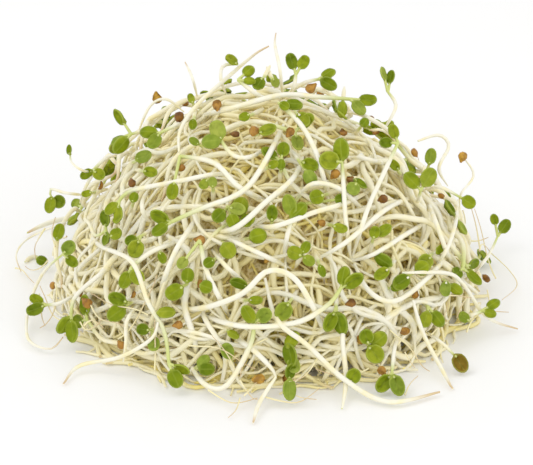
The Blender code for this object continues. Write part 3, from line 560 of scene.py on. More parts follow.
def even_steps(dense, step):
    """Points at even distances along a finely divided line."""
    spans = np.linalg.norm(np.diff(dense, axis=0), axis=1)
    travelled = np.concatenate(((0.0,), np.cumsum(spans)))
    count = max(3, int(round(travelled[-1] / step)))
    targets = np.linspace(0.0, travelled[-1], count + 1)
    return np.stack(
        [np.interp(targets, travelled, dense[:, axis]) for axis in range(dense.shape[1])],
        axis=1)


def lift_along(lifts, shares):
    """Heights over the heap along a way, from three heights in mm."""
    first, middle, last = lifts
    rise = np.clip(shares / 0.3, 0.0, 1.0)
    fall = np.clip((shares - 0.7) / 0.3, 0.0, 1.0)
    heights = first + (middle - first) * rise * rise * (3.0 - 2.0 * rise)
    return (heights + (last - middle) * fall * fall * (3.0 - 2.0 * fall)) * MM


class Pile:
    """The stems laid so far, so that the next one rests on them."""

    def __init__(self):
        self.cells = {}

    def add(self, base, lifts, radii):
        """Remember a stem by its line on the heap and its heights."""
        for row in np.column_stack((base, lifts, radii)):
            cell = tuple(np.floor(row[:3] / PILE_CELL).astype(int))
            self.cells.setdefault(cell, []).append(row)

    def near(self, base):
        """Everything laid near a line on the heap."""
        wanted = set()
        for x, y, z in np.floor(base / PILE_CELL).astype(int):
            for i in (-1, 0, 1):
                for j in (-1, 0, 1):
                    for k in (-1, 0, 1):
                        wanted.add((x + i, y + j, z + k))
        rows = [row for key in sorted(wanted) for row in self.cells.get(key, ())]
        return np.array(rows) if rows else None

    def lay(self, base, wanted, radii, inner):
        """Heights at which a springy stem clears what lies under it."""
        near = self.near(base)
        heights = wanted.copy()
        if near is not None:
            away = np.linalg.norm(base[:, None, :] - near[None, :, :3], axis=2)
            reach = radii[:, None] + near[None, :, 4]
            rise = np.sqrt(np.maximum(reach ** 2 - away ** 2, 0.0))
            tops = np.where(away < reach, near[None, :, 3] + rise, -1.0)
            # What lies far over this stem's own height is passed under
            tops = np.where(tops > wanted[:, None] + PASS_UNDER, -1.0, tops)
            heights = np.where(inner, np.maximum(wanted, tops.max(axis=1)), wanted)
        spans = np.linalg.norm(np.diff(base, axis=0), axis=1)
        along = np.concatenate(((0.0,), np.cumsum(spans)))
        sag = STEM_SAG * (along[:, None] - along[None, :]) ** 2
        sprung = (heights[None, :] - sag).max(axis=1)
        if inner.all():
            return sprung
        # Ends that dive into the tangle leave the springy line gently
        held = evened(inner.astype(float), 3)
        return wanted + (sprung - wanted) * held


def above_floor(points, radii):
    """Points no lower than a stem can lie on the flat surface."""
    points = points.copy()
    points[:, 2] = np.maximum(points[:, 2], radii)
    return points


def view_way(path, lifts, radius, pile):
    """A stem's way from its points in the view, laid on the pile."""
    places = smooth_way(path, 4.0)
    shares = np.linspace(0.0, 1.0, len(places))
    lifts = [max(lift * DIVE_GAIN, DEEPEST_DIVE) if lift < 0.0 else lift for lift in lifts]
    wanted = lift_along(lifts, shares)
    radii = np.full(len(places), radius * MM)
    first = from_view(places, wanted)
    base = onto_heap(first, np.zeros(len(first)))
    heights = pile.lay(base, wanted, radii, wanted > HIDDEN_UNDER * MM)
    way = above_floor(from_view(places, heights), radii)
    way = smooth_way(way, FINE_STEP)
    radii = np.full(len(way), radius * MM)
    pile.add(onto_heap(way, np.zeros(len(way))), heap_distance(way), radii)
    return way


def stem_radii(count, radius, leafy):
    """Radius at each point: a neck under the leaves and a thin root end."""
    shares = np.linspace(0.0, 1.0, count)
    start = np.clip(1.0 - shares / NECK_END, 0.0, 1.0)
    radii = radius * (1.0 - (0.30 if leafy else 0.45) * start)
    root = np.clip((shares - THIN_FROM) / (1.0 - THIN_FROM), 0.0, 1.0)
    return radii * (1.0 - 0.62 * root ** 1.6)


# Stems as tubes: each is its way, its radii, its tint, which on the stems also
# carries painted shade by depth in the tangle, and how far along the sprout
# each point lies, from 0 at the leaves to 1 at the root end

def tube_object(name, stems, material, sides=6):
    """One mesh of tapered tubes."""
    curve = bpy.data.curves.new(name, "CURVE")
    curve.dimensions = "3D"
    curve.bevel_depth = MM
    curve.bevel_resolution = sides // 2 - 2
    curve.use_fill_caps = True
    for way, radii, _, _ in stems:
        spline = curve.splines.new("POLY")
        spline.points.add(len(way) - 1)
        rows = np.column_stack((way, np.ones(len(way))))
        spline.points.foreach_set("co", rows.ravel())
        spline.points.foreach_set("radius", np.asarray(radii) / MM)
    thing = bpy.data.objects.new(name, curve)
    bpy.context.scene.collection.objects.link(thing)
    pick(thing)
    bpy.ops.object.convert(target="MESH")
    thing = bpy.context.view_layer.objects.active
    caps, tubes = [], []
    for way, _, tint_and_depth_shade, along in stems:
        caps += [(tint_and_depth_shade, along[0])] * sides + [(tint_and_depth_shade, along[-1])] * sides
        for share in along:
            tubes += [(tint_and_depth_shade, share)] * sides
    write_values(thing.data, np.array(caps + tubes))
    thing.data.shade_smooth()
    thing.data.materials.clear()
    thing.data.materials.append(material)
    return thing


def write_values(mesh, rows):
    """Write each point's tint, which on the stems also carries painted shade by depth, and how
    far along the sprout it lies.
    """
    if len(rows) != len(mesh.vertices):
        raise RuntimeError(f"{len(rows)} values for {len(mesh.vertices)} points")
    for name, column in (("tint_and_depth_shade", 0), ("along", 1)):
        layer = mesh.attributes.get(name) or mesh.attributes.new(name, "FLOAT", "POINT")
        layer.data.foreach_set("value", rows[:, column].astype(np.float32))


def pick(*things):
    """Select these objects alone and make the first one active."""
    bpy.ops.object.select_all(action="DESELECT")
    for thing in things:
        thing.select_set(True)
    bpy.context.view_layer.objects.active = things[0]


def joined(name, things):
    """Several pieces made one."""
    pick(*things)
    if len(things) > 1:
        bpy.ops.object.join()
    thing = bpy.context.view_layer.objects.active
    thing.name = name
    return thing


def select_points(thing, chosen):
    """Select a mesh's points by their place."""
    bpy.ops.object.mode_set(mode="OBJECT")
    mesh = thing.data
    for parts in (mesh.vertices, mesh.edges, mesh.polygons):
        parts.foreach_set("select", [False] * len(parts))
    for vertex in mesh.vertices:
        vertex.select = chosen(vertex.co)
    bpy.ops.object.mode_set(mode="EDIT")


# Leaves and hulls

def leaf_master(name, cup, fold, curl):
    """A seed leaf of length 1, from its base at the origin to its tip."""
    bpy.ops.object.select_all(action="DESELECT")
    bpy.ops.mesh.primitive_circle_add(vertices=LEAF_SIDES, radius=0.5, fill_type="NGON")
    thing = bpy.context.view_layer.objects.active
    thing.name = name
    bpy.context.tool_settings.mesh_select_mode = (True, False, False)
    bpy.ops.object.mode_set(mode="EDIT")
    bpy.ops.mesh.select_all(action="SELECT")
    bpy.ops.transform.translate(value=(0.5, 0.0, 0.0))
    bpy.ops.mesh.inset(thickness=0.10)
    bpy.ops.mesh.inset(thickness=0.18)
    bpy.ops.mesh.poke()
    select_points(thing, lambda place: place.x < 0.12)
    bpy.ops.transform.resize(value=(1.0, 0.62, 1.0), center_override=(0, 0, 0))
    select_points(thing, lambda place: math.hypot(place.x - 0.5, place.y) > 0.45)
    bpy.ops.transform.translate(value=(0.0, 0.0, cup))
    select_points(thing, lambda place: abs(place.y) < 0.06)
    bpy.ops.transform.translate(value=(0.0, 0.0, -fold))
    select_points(thing, lambda place: place.x > 0.78)
    bpy.ops.transform.translate(value=(0.0, 0.0, curl))
    bpy.ops.object.mode_set(mode="OBJECT")
    heap = settings()
    wall = thing.modifiers.new("wall", "SOLIDIFY")
    wall.thickness = heap.leaf_thickness / heap.leaf_length
    wall.offset = 0.0
    bpy.ops.object.modifier_apply(modifier=wall.name)
    return finished_master(thing)


def hull_master(name, dent):
    """A seed hull of length 1 about the origin, dented on one side."""
    bpy.ops.object.select_all(action="DESELECT")
    bpy.ops.mesh.primitive_uv_sphere_add(segments=10, ring_count=7, radius=0.5)
    thing = bpy.context.view_layer.objects.active
    thing.name = name
    bpy.context.tool_settings.mesh_select_mode = (True, False, False)
    bpy.ops.object.mode_set(mode="EDIT")
    bpy.ops.mesh.select_all(action="SELECT")
    bpy.ops.transform.resize(value=(1.0, 0.78, 0.62), center_override=(0, 0, 0))
    select_points(thing, lambda place: place.z > 0.19)
    bpy.ops.transform.translate(value=(0.0, 0.0, -dent))
    select_points(thing, lambda place: place.x > 0.26)
    bpy.ops.transform.resize(value=(1.12, 0.55, 0.7), center_override=(0, 0, 0))
    select_points(thing, lambda place: place.x < -0.4)
    bpy.ops.transform.translate(value=(0.06, 0.05, 0.05))
    bpy.ops.object.mode_set(mode="OBJECT")
    return finished_master(thing)


def finished_master(thing):
    """Give a master its own flat map and its values, and take it off the scene."""
    mesh = thing.data
    layer = mesh.uv_layers.active or mesh.uv_layers.new(name="UVMap")
    layer.name = "UVMap"
    for loop in mesh.loops:
        place = mesh.vertices[loop.vertex_index].co
        layer.data[loop.index].uv = (place.x, place.y + 0.5)
    write_values(mesh, np.zeros((len(mesh.vertices), 2)))
    mesh.shade_smooth()
    mesh.materials.clear()
    for home in list(thing.users_collection):
        home.objects.unlink(thing)
    return thing


def placement(start, along, face, length, width, depth):
    """Where a copy goes: its start, its direction and its size."""
    along = unit(along)
    side = unit(np.cross(face, along))
    up = np.cross(along, side)
    rows = np.column_stack((along * length, side * width, up * depth, start))
    return Matrix([tuple(row) for row in rows] + [(0.0, 0.0, 0.0, 1.0)])


def copied(master, name, place, tint_and_depth_shade, material):
    """A copy of a master with its own mesh, set in place."""
    thing = bpy.data.objects.new(name, master.data.copy())
    thing.data.transform(place)
    thing.data.materials.append(material)
    write_values(thing.data, np.tile((tint_and_depth_shade, 0.0), (len(thing.data.vertices), 1)))
    bpy.context.scene.collection.objects.link(thing)
    return thing


def petiole(start, end, along, tint_and_depth_shade):
    """A short green stalk from a stem's end to a leaf's base."""
    middle = (start + end) / 2.0 + unit(along) * np.linalg.norm(end - start) * 0.08
    way = smooth_way([start, middle, end], 0.0006)
    radii = np.linspace(0.00040, 0.00030, len(way))
    return way, radii, tint_and_depth_shade, np.zeros(len(way))


def leaf_spot(joint, leaf, number, pile):
    """Base, direction, face and size of a leaf that is seen at a place."""
    across, down, length, width = leaf
    seen = in_view(joint)
    offset = np.array((across, down)) - seen
    reach = np.linalg.norm(offset)
    turn = offset / max(reach, 1e-6)
    length_m = max(length * VIEW_STEP, settings().leaf_length * SHORTEST_LEAF)
    breadth = max(width * VIEW_STEP, length_m * NARROWEST_LEAF)
    tilt = math.acos(min(width * VIEW_STEP / breadth, 1.0)) * 0.85
    tilt *= (1.0, -1.0, 0.7)[number % 3]
    flat = RIGHT * turn[0] - UP * turn[1]
    normal = heap_normal(joint[None])[0]
    face = unit(-FORWARD + normal * FACING_OUT)
    slope = np.clip(-(flat @ face) / (FORWARD @ face), -STEEPEST_LEAF, STEEPEST_LEAF)
    along = unit(flat + FORWARD * slope)
    side = unit(np.cross(face, along))
    face = unit(np.cross(along, side))
    if face @ FORWARD > 0.0:
        face = -face
    face = unit(face * math.cos(tilt) + side * math.sin(tilt))
    base = joint + flat * (reach * VIEW_STEP - length_m * 0.5)
    base = base - FORWARD * LEAF_GAP * (1 + number)
    return clear_of_pile(base, along, length_m, pile), along, face, length_m, breadth


def clear_of_pile(base, along, length, pile):
    """Bring a leaf towards the view until no stem hides it."""
    spots = base + along * length * np.linspace(0.1, 1.0, 4)[:, None]
    for _ in range(12):
        feet = onto_heap(spots, np.zeros(len(spots)))
        near = pile.near(feet)
        heights = heap_distance(spots)
        need = 0.0006 - heights.min()
        if near is not None:
            away = np.linalg.norm(feet[:, None, :] - near[None, :, :3], axis=2)
            tops = np.where(away < HIDING_REACH, near[None, :, 3] + near[None, :, 4], -1.0)
            need = max(need, (tops.max(axis=1) + 0.0003 - heights).max())
        if need <= 0.0:
            break
        shift = -FORWARD * min(need, CLEARING_STEP)
        base, spots = base + shift, spots + shift
    lowest = (base + along * length)[2]
    return base + np.array((0.0, 0.0, max(LOWEST_LEAF - lowest, 0.0)))


def sprout_parts(way, radius, leaves, tint_and_depth_shade, made, tip=False, brown=False):
    """Tubes and leaf copies of a sprout whose leaves are seen at places."""
    rng = made["rng"]
    shares = np.linspace(
        0.0 if leaves else NECK_END, 1.0 if tip else ROOT_FROM, len(way))
    tubes = [(way, stem_radii(len(way), radius * MM, bool(leaves)), tint_and_depth_shade, shares)]
    blades = []
    for number, leaf in enumerate(leaves):
        spot = leaf_spot(way[0], leaf, number, made["pile"])
        base, along, face, length, breadth = spot
        tubes.append(petiole(way[0], base + along * length * 0.10, along, tint_and_depth_shade))
        place = placement(base, along, face, length, breadth, length)
        kind = rng.choice(made["leaves"])
        shade = 0.0 if brown else leaf_tint(rng)
        blades.append(copied(kind, "leaf", place, shade, made["materials"]["leaf"]))
    return tubes, blades


def leaf_tint(rng):
    """A leaf's own shade of green."""
    return 0.15 + 0.85 * rng.random()


# Sprouts by rule

def wander(starts, headings, lengths, bends, waves, steps):
    """Lines over the heap's surface that bend evenly and wave a little."""
    points = onto_heap(starts, np.zeros(len(starts)))
    lines = [points]
    stride = (lengths / steps)[:, None]
    for index in range(steps):
        normals = heap_normal(points)
        headings = headings - normals * (headings * normals).sum(axis=1)[:, None]
        headings = unit(headings)
        sides = np.cross(normals, headings)
        turns = bends + waves * np.sin(math.tau * index / steps * WAVES + bends * 90.0)
        headings = unit(headings + sides * turns[:, None] * stride)
        points = onto_heap(points + headings * stride, np.zeros(len(points)))
        lines.append(points)
    return np.stack(lines, axis=1)


def spread_place(index, count, low, high):
    """Places spread evenly over the dome by turning the golden angle."""
    angle = index * math.pi * (3.0 - math.sqrt(5.0))
    rise = math.asin(low + (high - low) * (index + 0.5) / count)
    place = np.array((
        math.cos(angle) * math.cos(rise),
        math.sin(angle) * math.cos(rise),
        math.sin(rise),
    ))
    return place * settings().heap_radius


def rule_lines(middles, lengths, draw, reach):
    """Curved lines over the heap with their middles near places."""
    count = len(middles)
    best = None
    for _ in range(RULE_TRIES):
        headings = draw.normal(size=(count, 3)) * (1.0, 1.0, 0.9)
        bends = draw.choice((-1.0, 1.0), count) * draw.uniform(5.0, 80.0, count)
        waves = draw.uniform(20.0, 170.0, count)
        back = wander(middles, -headings, lengths / 2.0, -bends, waves, 10)
        ahead = wander(middles, headings, lengths / 2.0, bends, waves, 10)
        lines = np.concatenate((back[:, :0:-1], ahead), axis=1)
        far = np.hypot(lines[..., 0], lines[..., 1]).max(axis=1)
        if best is None:
            best, best_far = lines, far
        else:
            swap = (best_far > reach) & (far < best_far)
            best = np.where(swap[:, None, None], lines, best)
            best_far = np.where(swap, far, best_far)
    return best


def scattered_lines(made, count, span, lengths, reach):
    """Curved lines spread evenly over the heap, in a shuffled order."""
    order = list(range(count))
    made["rng"].shuffle(order)
    middles = np.array([spread_place(index, count, *span(index)) for index in order])
    sizes = made["draw"].uniform(*lengths, count)
    return rule_lines(middles, sizes, made["draw"], reach)


def trimmed(line, reach):
    """The longest run of a line that stays on the heap."""
    inside = np.hypot(line[:, 0], line[:, 1]) < reach
    start, best = 0, (0, 0)
    for index, held in enumerate(np.append(inside, False)):
        if not held:
            if index - start > best[1] - best[0]:
                best = (start, index)
            start = index + 1
    return line[best[0]:best[1]]


def laid(line, wanted, radii, inner, pile):
    """A line over the heap laid on the pile, as a way in space."""
    heights = pile.lay(line, wanted, radii, inner)
    pile.add(line, heights, radii)
    return above_floor(line + heap_normal(line) * heights[:, None], radii)


def shoulder_dip(line):
    """How much lower the tangle lies at the heap's shoulders."""
    facing = heap_normal(line) @ FORWARD
    turned = np.clip((facing + 0.55) / 0.5, 0.0, 1.0)
    height = np.clip(line[:, 2] / settings().heap_height, 0.0, 1.0)
    return SHOULDER_DIP * turned * np.sin(height * math.pi)


def shown_in_front(point):
    """Whether a place on the heap faces the view."""
    return heap_normal(point[None])[0] @ FORWARD < FACING_VIEW


def leaf_pair(way, made, tubes, tint_and_depth_shade):
    """Two leaves at a stem's end, spread like a V or a heart."""
    rng = made["rng"]
    heap = settings()
    ahead = unit(way[0] - way[3])
    normal = heap_normal(way[:1])[0]
    tilt = np.array([rng.gauss(0, 0.35) for _ in range(3)])
    face = unit(normal + tilt)
    side = unit(np.cross(face, ahead))
    spread = rng.uniform(0.35, 1.1)
    blades = []
    for sign in (-1.0, 1.0):
        along = unit(ahead * math.cos(spread) + side * sign * math.sin(spread)
                     + normal * rng.uniform(-0.05, 0.35))
        length = heap.leaf_length * rng.uniform(0.72, 1.08)
        breadth = heap.leaf_width * rng.uniform(0.72, 1.08)
        base = way[0] + along * 0.0009 + normal * 0.0002
        if (base + along * length)[2] < 0.0009:
            base = base + np.array((0, 0, 0.0009 - (base + along * length)[2]))
        tubes.append(petiole(way[0], base + along * length * 0.12, along, tint_and_depth_shade))
        place = placement(base, along, face, length, breadth, length)
        kind = rng.choice(made["leaves"])
        blades.append(
            copied(kind, "leaf", place, leaf_tint(rng), made["materials"]["leaf"]))
    return blades


# Finishes

def new_material(name, roughness, specular=0.5):
    """A material with its tree and its shader."""
    material = bpy.data.materials.new(name)
    material.use_nodes = True
    tree = material.node_tree
    shader = tree.nodes["Principled BSDF"]
    shader.inputs["Roughness"].default_value = roughness
    shader.inputs["Specular IOR Level"].default_value = specular
    return material, tree, shader


def shaded(colour, red, green, blue):
    """A colour with its parts made stronger or weaker."""
    return (colour[0] * red, colour[1] * green, colour[2] * blue, 1.0)


def attribute(tree, name):
    """A value that each point of a mesh carries."""
    node = tree.nodes.new("ShaderNodeAttribute")
    node.attribute_name = name
    return node.outputs["Fac"]


def speckle(tree, scale, detail=2.0):
    """Cloudy noise fixed to the piece, from 0 to 1."""
    place = tree.nodes.new("ShaderNodeTexCoord")
    node = tree.nodes.new("ShaderNodeTexNoise")
    node.inputs["Scale"].default_value = scale
    node.inputs["Detail"].default_value = detail
    tree.links.new(place.outputs["Object"], node.inputs["Vector"])
    return node.outputs["Fac"]


def ramp(tree, source, stops):
    """Colours along a value from 0 to 1."""
    node = tree.nodes.new("ShaderNodeValToRGB")
    elements = node.color_ramp.elements
    elements.remove(elements[-1])
    elements[0].position, elements[0].color = stops[0]
    for position, colour in stops[1:]:
        elements.new(position).color = colour
    tree.links.new(source, node.inputs["Fac"])
    return node.outputs["Color"]


def plug(tree, socket, value):
    """Link a socket, or set it."""
    if isinstance(value, bpy.types.NodeSocket):
        tree.links.new(value, socket)
    else:
        socket.default_value = value


def mixed(tree, share, first, second, kind="MIX"):
    """Two colours mixed."""
    node = tree.nodes.new("ShaderNodeMix")
    node.data_type = "RGBA"
    node.blend_type = kind
    plug(tree, node.inputs[0], share)
    plug(tree, node.inputs[6], first)
    plug(tree, node.inputs[7], second)
    return node.outputs[2]


def reckoned(tree, kind, first, second):
    """What two values make by one kind of arithmetic."""
    node = tree.nodes.new("ShaderNodeMath")
    node.operation = kind
    plug(tree, node.inputs[0], first)
    plug(tree, node.inputs[1], second)
    return node.outputs[0]


def between(tree, value, low, high):
    """How far a value lies between two others, from 0 to 1."""
    node = tree.nodes.new("ShaderNodeMapRange")
    node.interpolation_type = "SMOOTHSTEP"
    node.inputs["From Min"].default_value = low
    node.inputs["From Max"].default_value = high
    tree.links.new(value, node.inputs["Value"])
    return node.outputs["Result"]


def relief(tree, shader, height, strength, distance):
    """Fine unevenness that only the light shows."""
    node = tree.nodes.new("ShaderNodeBump")
    node.inputs["Strength"].default_value = strength
    node.inputs["Distance"].default_value = distance
    tree.links.new(height, node.inputs["Height"])
    tree.links.new(node.outputs["Normal"], shader.inputs["Normal"])


def stem_material():
    """Pale juicy stems, green at the neck and tan at the root, with painted shade: darker and
    yellower deep in the tangle, and whiter on top where the light falls.
    """
    heap = settings()
    material, tree, shader = new_material("sprout_stem", 0.30, 0.28)
    along, tint_and_depth_shade = attribute(tree, "along"), attribute(tree, "tint_and_depth_shade")
    cloud = speckle(tree, 260.0)
    pale = tuple(heap.stem_colour)
    # Painted shade and light: a low tint gives the darker, yellower colour of the shaded stems
    # deep in the tangle, and a high tint gives the whiter colour of the lit stems on top
    painted_deep_shade, painted_top_light = shaded(pale, 1.04, 0.90, 0.20), shaded(pale, 1.0, 1.03, 1.22)
    body = ramp(tree, tint_and_depth_shade, [(0.0, painted_deep_shade), (0.62, pale), (0.95, painted_top_light)])
    cream = shaded(pale, 1.02, 0.98, 0.80)
    body = mixed(tree, between(tree, cloud, 0.42, 0.72), body, cream)
    root = between(tree, along, ROOT_FROM, 1.0)
    body = mixed(tree, root, body, tuple(heap.root_colour))
    neck = between(tree, along, 0.21, 0.01)
    body = mixed(tree, neck, body, tuple(heap.neck_colour))
    tree.links.new(body, shader.inputs["Base Color"])
    shader.inputs["Coat Weight"].default_value = 0.22
    shader.inputs["Coat Roughness"].default_value = 0.18
    relief(tree, shader, speckle(tree, 1400.0), 0.12, 0.0003)
    return material


def leaf_material():
    """Seed leaves with a paler rim and rib, each its own shade."""
    heap = settings()
    material, tree, shader = new_material("sprout_leaf", 0.50, 0.06)
    green = tuple(heap.leaf_colour)
    wilted = (0.20, 0.115, 0.008, 1.0)
    shades = [
        (0.0, wilted),
        (0.13, shaded(green, 0.50, 0.58, 0.5)),
        (0.35, shaded(green, 0.80, 0.84, 1.0)),
        (0.60, shaded(green, 1.15, 1.08, 1.5)),
        (0.82, shaded(green, 1.45, 1.25, 4.0)),
        (0.92, shaded(green, 1.05, 1.10, 8.0)),
        (1.0, shaded(green, 1.8, 1.55, 16.0)),
    ]
    body = ramp(tree, attribute(tree, "tint_and_depth_shade"), shades)
    cloud = speckle(tree, 520.0, 3.0)
    dark = mixed(tree, 1.0, body, (0.66, 0.72, 0.55, 1.0), "MULTIPLY")
    body = mixed(tree, between(tree, cloud, 0.35, 0.70), dark, body)
    flat = tree.nodes.new("ShaderNodeUVMap")
    flat.uv_map = "UVMap"
    parts = tree.nodes.new("ShaderNodeSeparateXYZ")
    tree.links.new(flat.outputs["UV"], parts.inputs[0])
    across = reckoned(tree, "SUBTRACT", parts.outputs["Y"], 0.5)
    length = reckoned(tree, "SUBTRACT", parts.outputs["X"], 0.5)
    edge = reckoned(tree, "ADD", reckoned(tree, "MULTIPLY", across, across),
                    reckoned(tree, "MULTIPLY", length, length))
    rim = reckoned(tree, "MULTIPLY", between(tree, edge, 0.165, 0.25), 0.75)
    rib = between(tree, reckoned(tree, "ABSOLUTE", across, 0.0), 0.075, 0.012)
    rib = reckoned(tree, "MULTIPLY", rib, 0.30)
    pale = reckoned(tree, "MAXIMUM", rim, rib)
    base = reckoned(tree, "MULTIPLY", between(tree, parts.outputs["X"], 0.22, 0.0), 0.8)
    pale = reckoned(tree, "MAXIMUM", pale, base)
    light = mixed(tree, 0.45, body, tuple(heap.leaf_rim_colour))
    body = mixed(tree, pale, body, light)
    tree.links.new(body, shader.inputs["Base Color"])
    relief(tree, shader, speckle(tree, 1900.0), 0.25, 0.0003)
    return material


def hull_material():
    """Dry brown hulls, from dark to amber."""
    material, tree, shader = new_material("seed_hull", 0.55, 0.14)
    brown = tuple(settings().hull_colour)
    shades = [
        (0.0, shaded(brown, 0.5, 0.42, 0.4)),
        (0.35, brown),
        (0.75, shaded(brown, 1.5, 1.7, 2.6)),
        (1.0, shaded(brown, 1.6, 2.1, 1.2)),
    ]
    body = ramp(tree, attribute(tree, "tint_and_depth_shade"), shades)
    spots = mixed(tree, 1.0, body, (0.45, 0.40, 0.35, 1.0), "MULTIPLY")
    cloud = speckle(tree, 700.0, 3.0)
    body = mixed(tree, between(tree, cloud, 0.30, 0.62), spots, body)
    tree.links.new(body, shader.inputs["Base Color"])
    shader.inputs["Coat Weight"].default_value = 0.15
    relief(tree, shader, speckle(tree, 1500.0), 0.4, 0.0003)
    return material


def painted_shade_core_material():
    """The inside of the tangle, with painted shade: dark brown patches among tan and cream
    stand for the shade deep in its gaps.
    """
    material, tree, shader = new_material("inner_tangle_painted_shade", 0.7)
    cloud = speckle(tree, 620.0, 6.0)
    # Painted shade: the dark brown stops stand for the deep shade between the stems
    body = ramp(tree, cloud, [
        (0.36, (0.22, 0.13, 0.02, 1.0)),
        (0.47, (0.62, 0.45, 0.13, 1.0)),
        (0.56, (0.90, 0.78, 0.42, 1.0)),
        (0.66, (0.45, 0.32, 0.09, 1.0)),
    ])
    tree.links.new(body, shader.inputs["Base Color"])
    relief(tree, shader, cloud, 0.6, 0.001)
    return material


def floor_material():
    """A plain pale floor."""
    material, tree, shader = new_material("pale_floor", 0.75)
    pale = tuple(settings().floor_colour)
    warm = shaded(pale, 1.0, 0.995, 0.985)
    body = mixed(tree, between(tree, speckle(tree, 12.0), 0.3, 0.7), pale, warm)
    tree.links.new(body, shader.inputs["Base Color"])
    return material


# What the operators share, made once

MADE = {}


def shared():
    """The pile, the random choices, the finishes and the masters."""
    if not MADE:
        MADE["rng"] = random.Random(7)
        MADE["draw"] = np.random.default_rng(7)
        MADE["pile"] = Pile()
        MADE["materials"] = {
            "stem": stem_material(), "leaf": leaf_material(),
            "hull": hull_material(), "core": painted_shade_core_material(),
        }
        MADE["leaves"] = [leaf_master(name, *shape) for name, shape in LEAF_SHAPES.items()]
        MADE["hulls"] = [hull_master(name, dent) for name, dent in HULL_DENTS.items()]
    return MADE


def ready(thing, node):
    """Tie a finished piece to the heap, in place of a solid."""
    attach(thing, "root")
    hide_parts(node)


class SPROUTS_OT_core(bpy.types.Operator):
    """Add the inside of the tangle, coloured with painted shade"""

    bl_idname = "sprouts.core"
    bl_label = "Inner tangle"

    def execute(self, context):
        made = shared()
        bpy.ops.object.select_all(action="DESELECT")
        bpy.ops.mesh.primitive_ico_sphere_add(subdivisions=5, radius=0.045)
        thing = context.view_layer.objects.active
        thing.name = "inner_tangle_painted_shade"
        mesh = thing.data
        points = np.empty(len(mesh.vertices) * 3, np.float32)
        mesh.vertices.foreach_get("co", points)
        points = points.reshape(-1, 3).astype(float)
        lumps = np.array([noise.noise(Vector(point) * 260.0) for point in points])
        upper = np.column_stack((points[:, :2], np.maximum(points[:, 2], 0.002)))
        upper = onto_heap(upper, CORE_DEPTH + CORE_LUMPS * lumps)
        low = np.clip(1.0 - upper[:, 2] / CORE_FOOT, 0.0, 1.0)
        upper[:, :2] *= (1.0 - CORE_DRAW_IN * low)[:, None]
        raised = np.maximum(upper[:, 2], CORE_FLOOR)
        upper[:, 2] = np.where(points[:, 2] < 0.002, CORE_FLOOR, raised)
        mesh.vertices.foreach_set("co", upper.astype(np.float32).ravel())
        mesh.update()
        bpy.ops.object.mode_set(mode="EDIT")
        bpy.ops.mesh.select_all(action="SELECT")
        bpy.ops.mesh.remove_doubles(threshold=0.00005)
        bpy.ops.mesh.normals_make_consistent(inside=False)
        bpy.ops.object.mode_set(mode="OBJECT")
        mesh.shade_smooth()
        mesh.materials.append(made["materials"]["core"])
        ready(thing, "tangled_sprouts")
        return {"FINISHED"}


class SPROUTS_OT_tangle(bpy.types.Operator):
    """Lay the tangle's stems, the deepest first"""

    bl_idname = "sprouts.tangle"
    bl_label = "Tangled stems"

    def execute(self, context):
        made = shared()
        rng, pile = made["rng"], made["pile"]
        count = settings().tangle_stems
        lines = scattered_lines(
            made, count, lambda index: (0.0, LOW_SHARE if index % 3 == 0 else 0.985),
            STEM_LENGTHS, STEM_REACH)
        layers = ["deep_stems", "middle_stems", "upper_stems", "outer_stems"]
        stems = []
        for rank, line in enumerate(lines):
            line = trimmed(line, rng.uniform(*FOOT_REACH))
            if len(line) < FEWEST_POINTS:
                continue
            share = rank / count
            thick = rng.random() < 0.20 + 0.15 * share
            radius = rng.uniform(*(THICK_RADII if thick else THIN_RADII))
            radii = np.full(len(line), radius)
            shares = np.linspace(0.0, 1.0, len(line))
            arch = rng.uniform(0.0, HIGHEST_ARCH) * MM * share
            wanted = (TANGLE_DEPTH + TANGLE_RISE * share) * MM + arch * np.sin(shares * math.pi)
            ends = np.minimum(shares, 1.0 - shares)
            wanted = wanted - END_DIVE * np.clip(1.0 - ends / 0.14, 0.0, 1.0) ** 2
            wanted = wanted - shoulder_dip(line)
            way = smooth_way(laid(line, wanted, radii, ends > 0.12, pile), RULE_STEP)
            # Painted shade: the stems laid first lie deepest and get the lowest tint, and so
            # the darker, yellower colour, with a random share added
            tint_and_depth_shade = 0.04 + 0.66 * share * share + 0.30 * rng.random()
            along = np.linspace(0.2, rng.choice((0.7, 0.8, 0.8, 0.8, 0.96)), len(way))
            stems.append((way, stem_radii(len(way), radius, False), tint_and_depth_shade, along))
        part = math.ceil(len(stems) / len(layers))
        for number, name in enumerate(layers):
            chosen = stems[number * part:(number + 1) * part]
            thing = tube_object(name, chosen, made["materials"]["stem"])
            ready(thing, "tangled_sprouts")
        return {"FINISHED"}


class SPROUTS_OT_leafy(bpy.types.Operator):
    """Lay sprouts by rule that show their leaves"""

    bl_idname = "sprouts.leafy"
    bl_label = "Leafy sprouts by rule"

    def execute(self, context):
        made = shared()
        rng, pile = made["rng"], made["pile"]
        lines = scattered_lines(
            made, settings().leafy_sprouts, lambda index: (0.03, 0.98),
            LEAFY_LENGTHS, LEAFY_REACH)
        tubes, blades = [], []
        for line in lines:
            line = trimmed(line, rng.uniform(*FOOT_REACH))
            if len(line) < FEWEST_POINTS:
                continue
            front = shown_in_front(line[0])
            if front and rng.random() < LEFT_OUT:
                continue
            radius = rng.uniform(*LEAFY_RADII)
            radii = np.full(len(line), radius)
            shares = np.linspace(0.0, 1.0, len(line))
            top = rng.uniform(*(FRONT_TOPS if front else OTHER_TOPS))
            wanted = lift_along((top + 0.6, top, top - 3.0), shares)
            way = smooth_way(laid(line, wanted, radii, shares < 0.86, pile), RULE_STEP)
            tint_and_depth_shade = rng.uniform(0.45, 1.0)
            along = np.linspace(0.0, 1.0, len(way))
            tubes.append((way, stem_radii(len(way), radius, True), tint_and_depth_shade, along))
            blades += leaf_pair(way, made, tubes, tint_and_depth_shade)
        ready(tube_object("leafy_stems", tubes, made["materials"]["stem"]),
              "tangled_sprouts")
        ready(joined("tangle_leaves", blades), "tangled_sprouts")
        return {"FINISHED"}


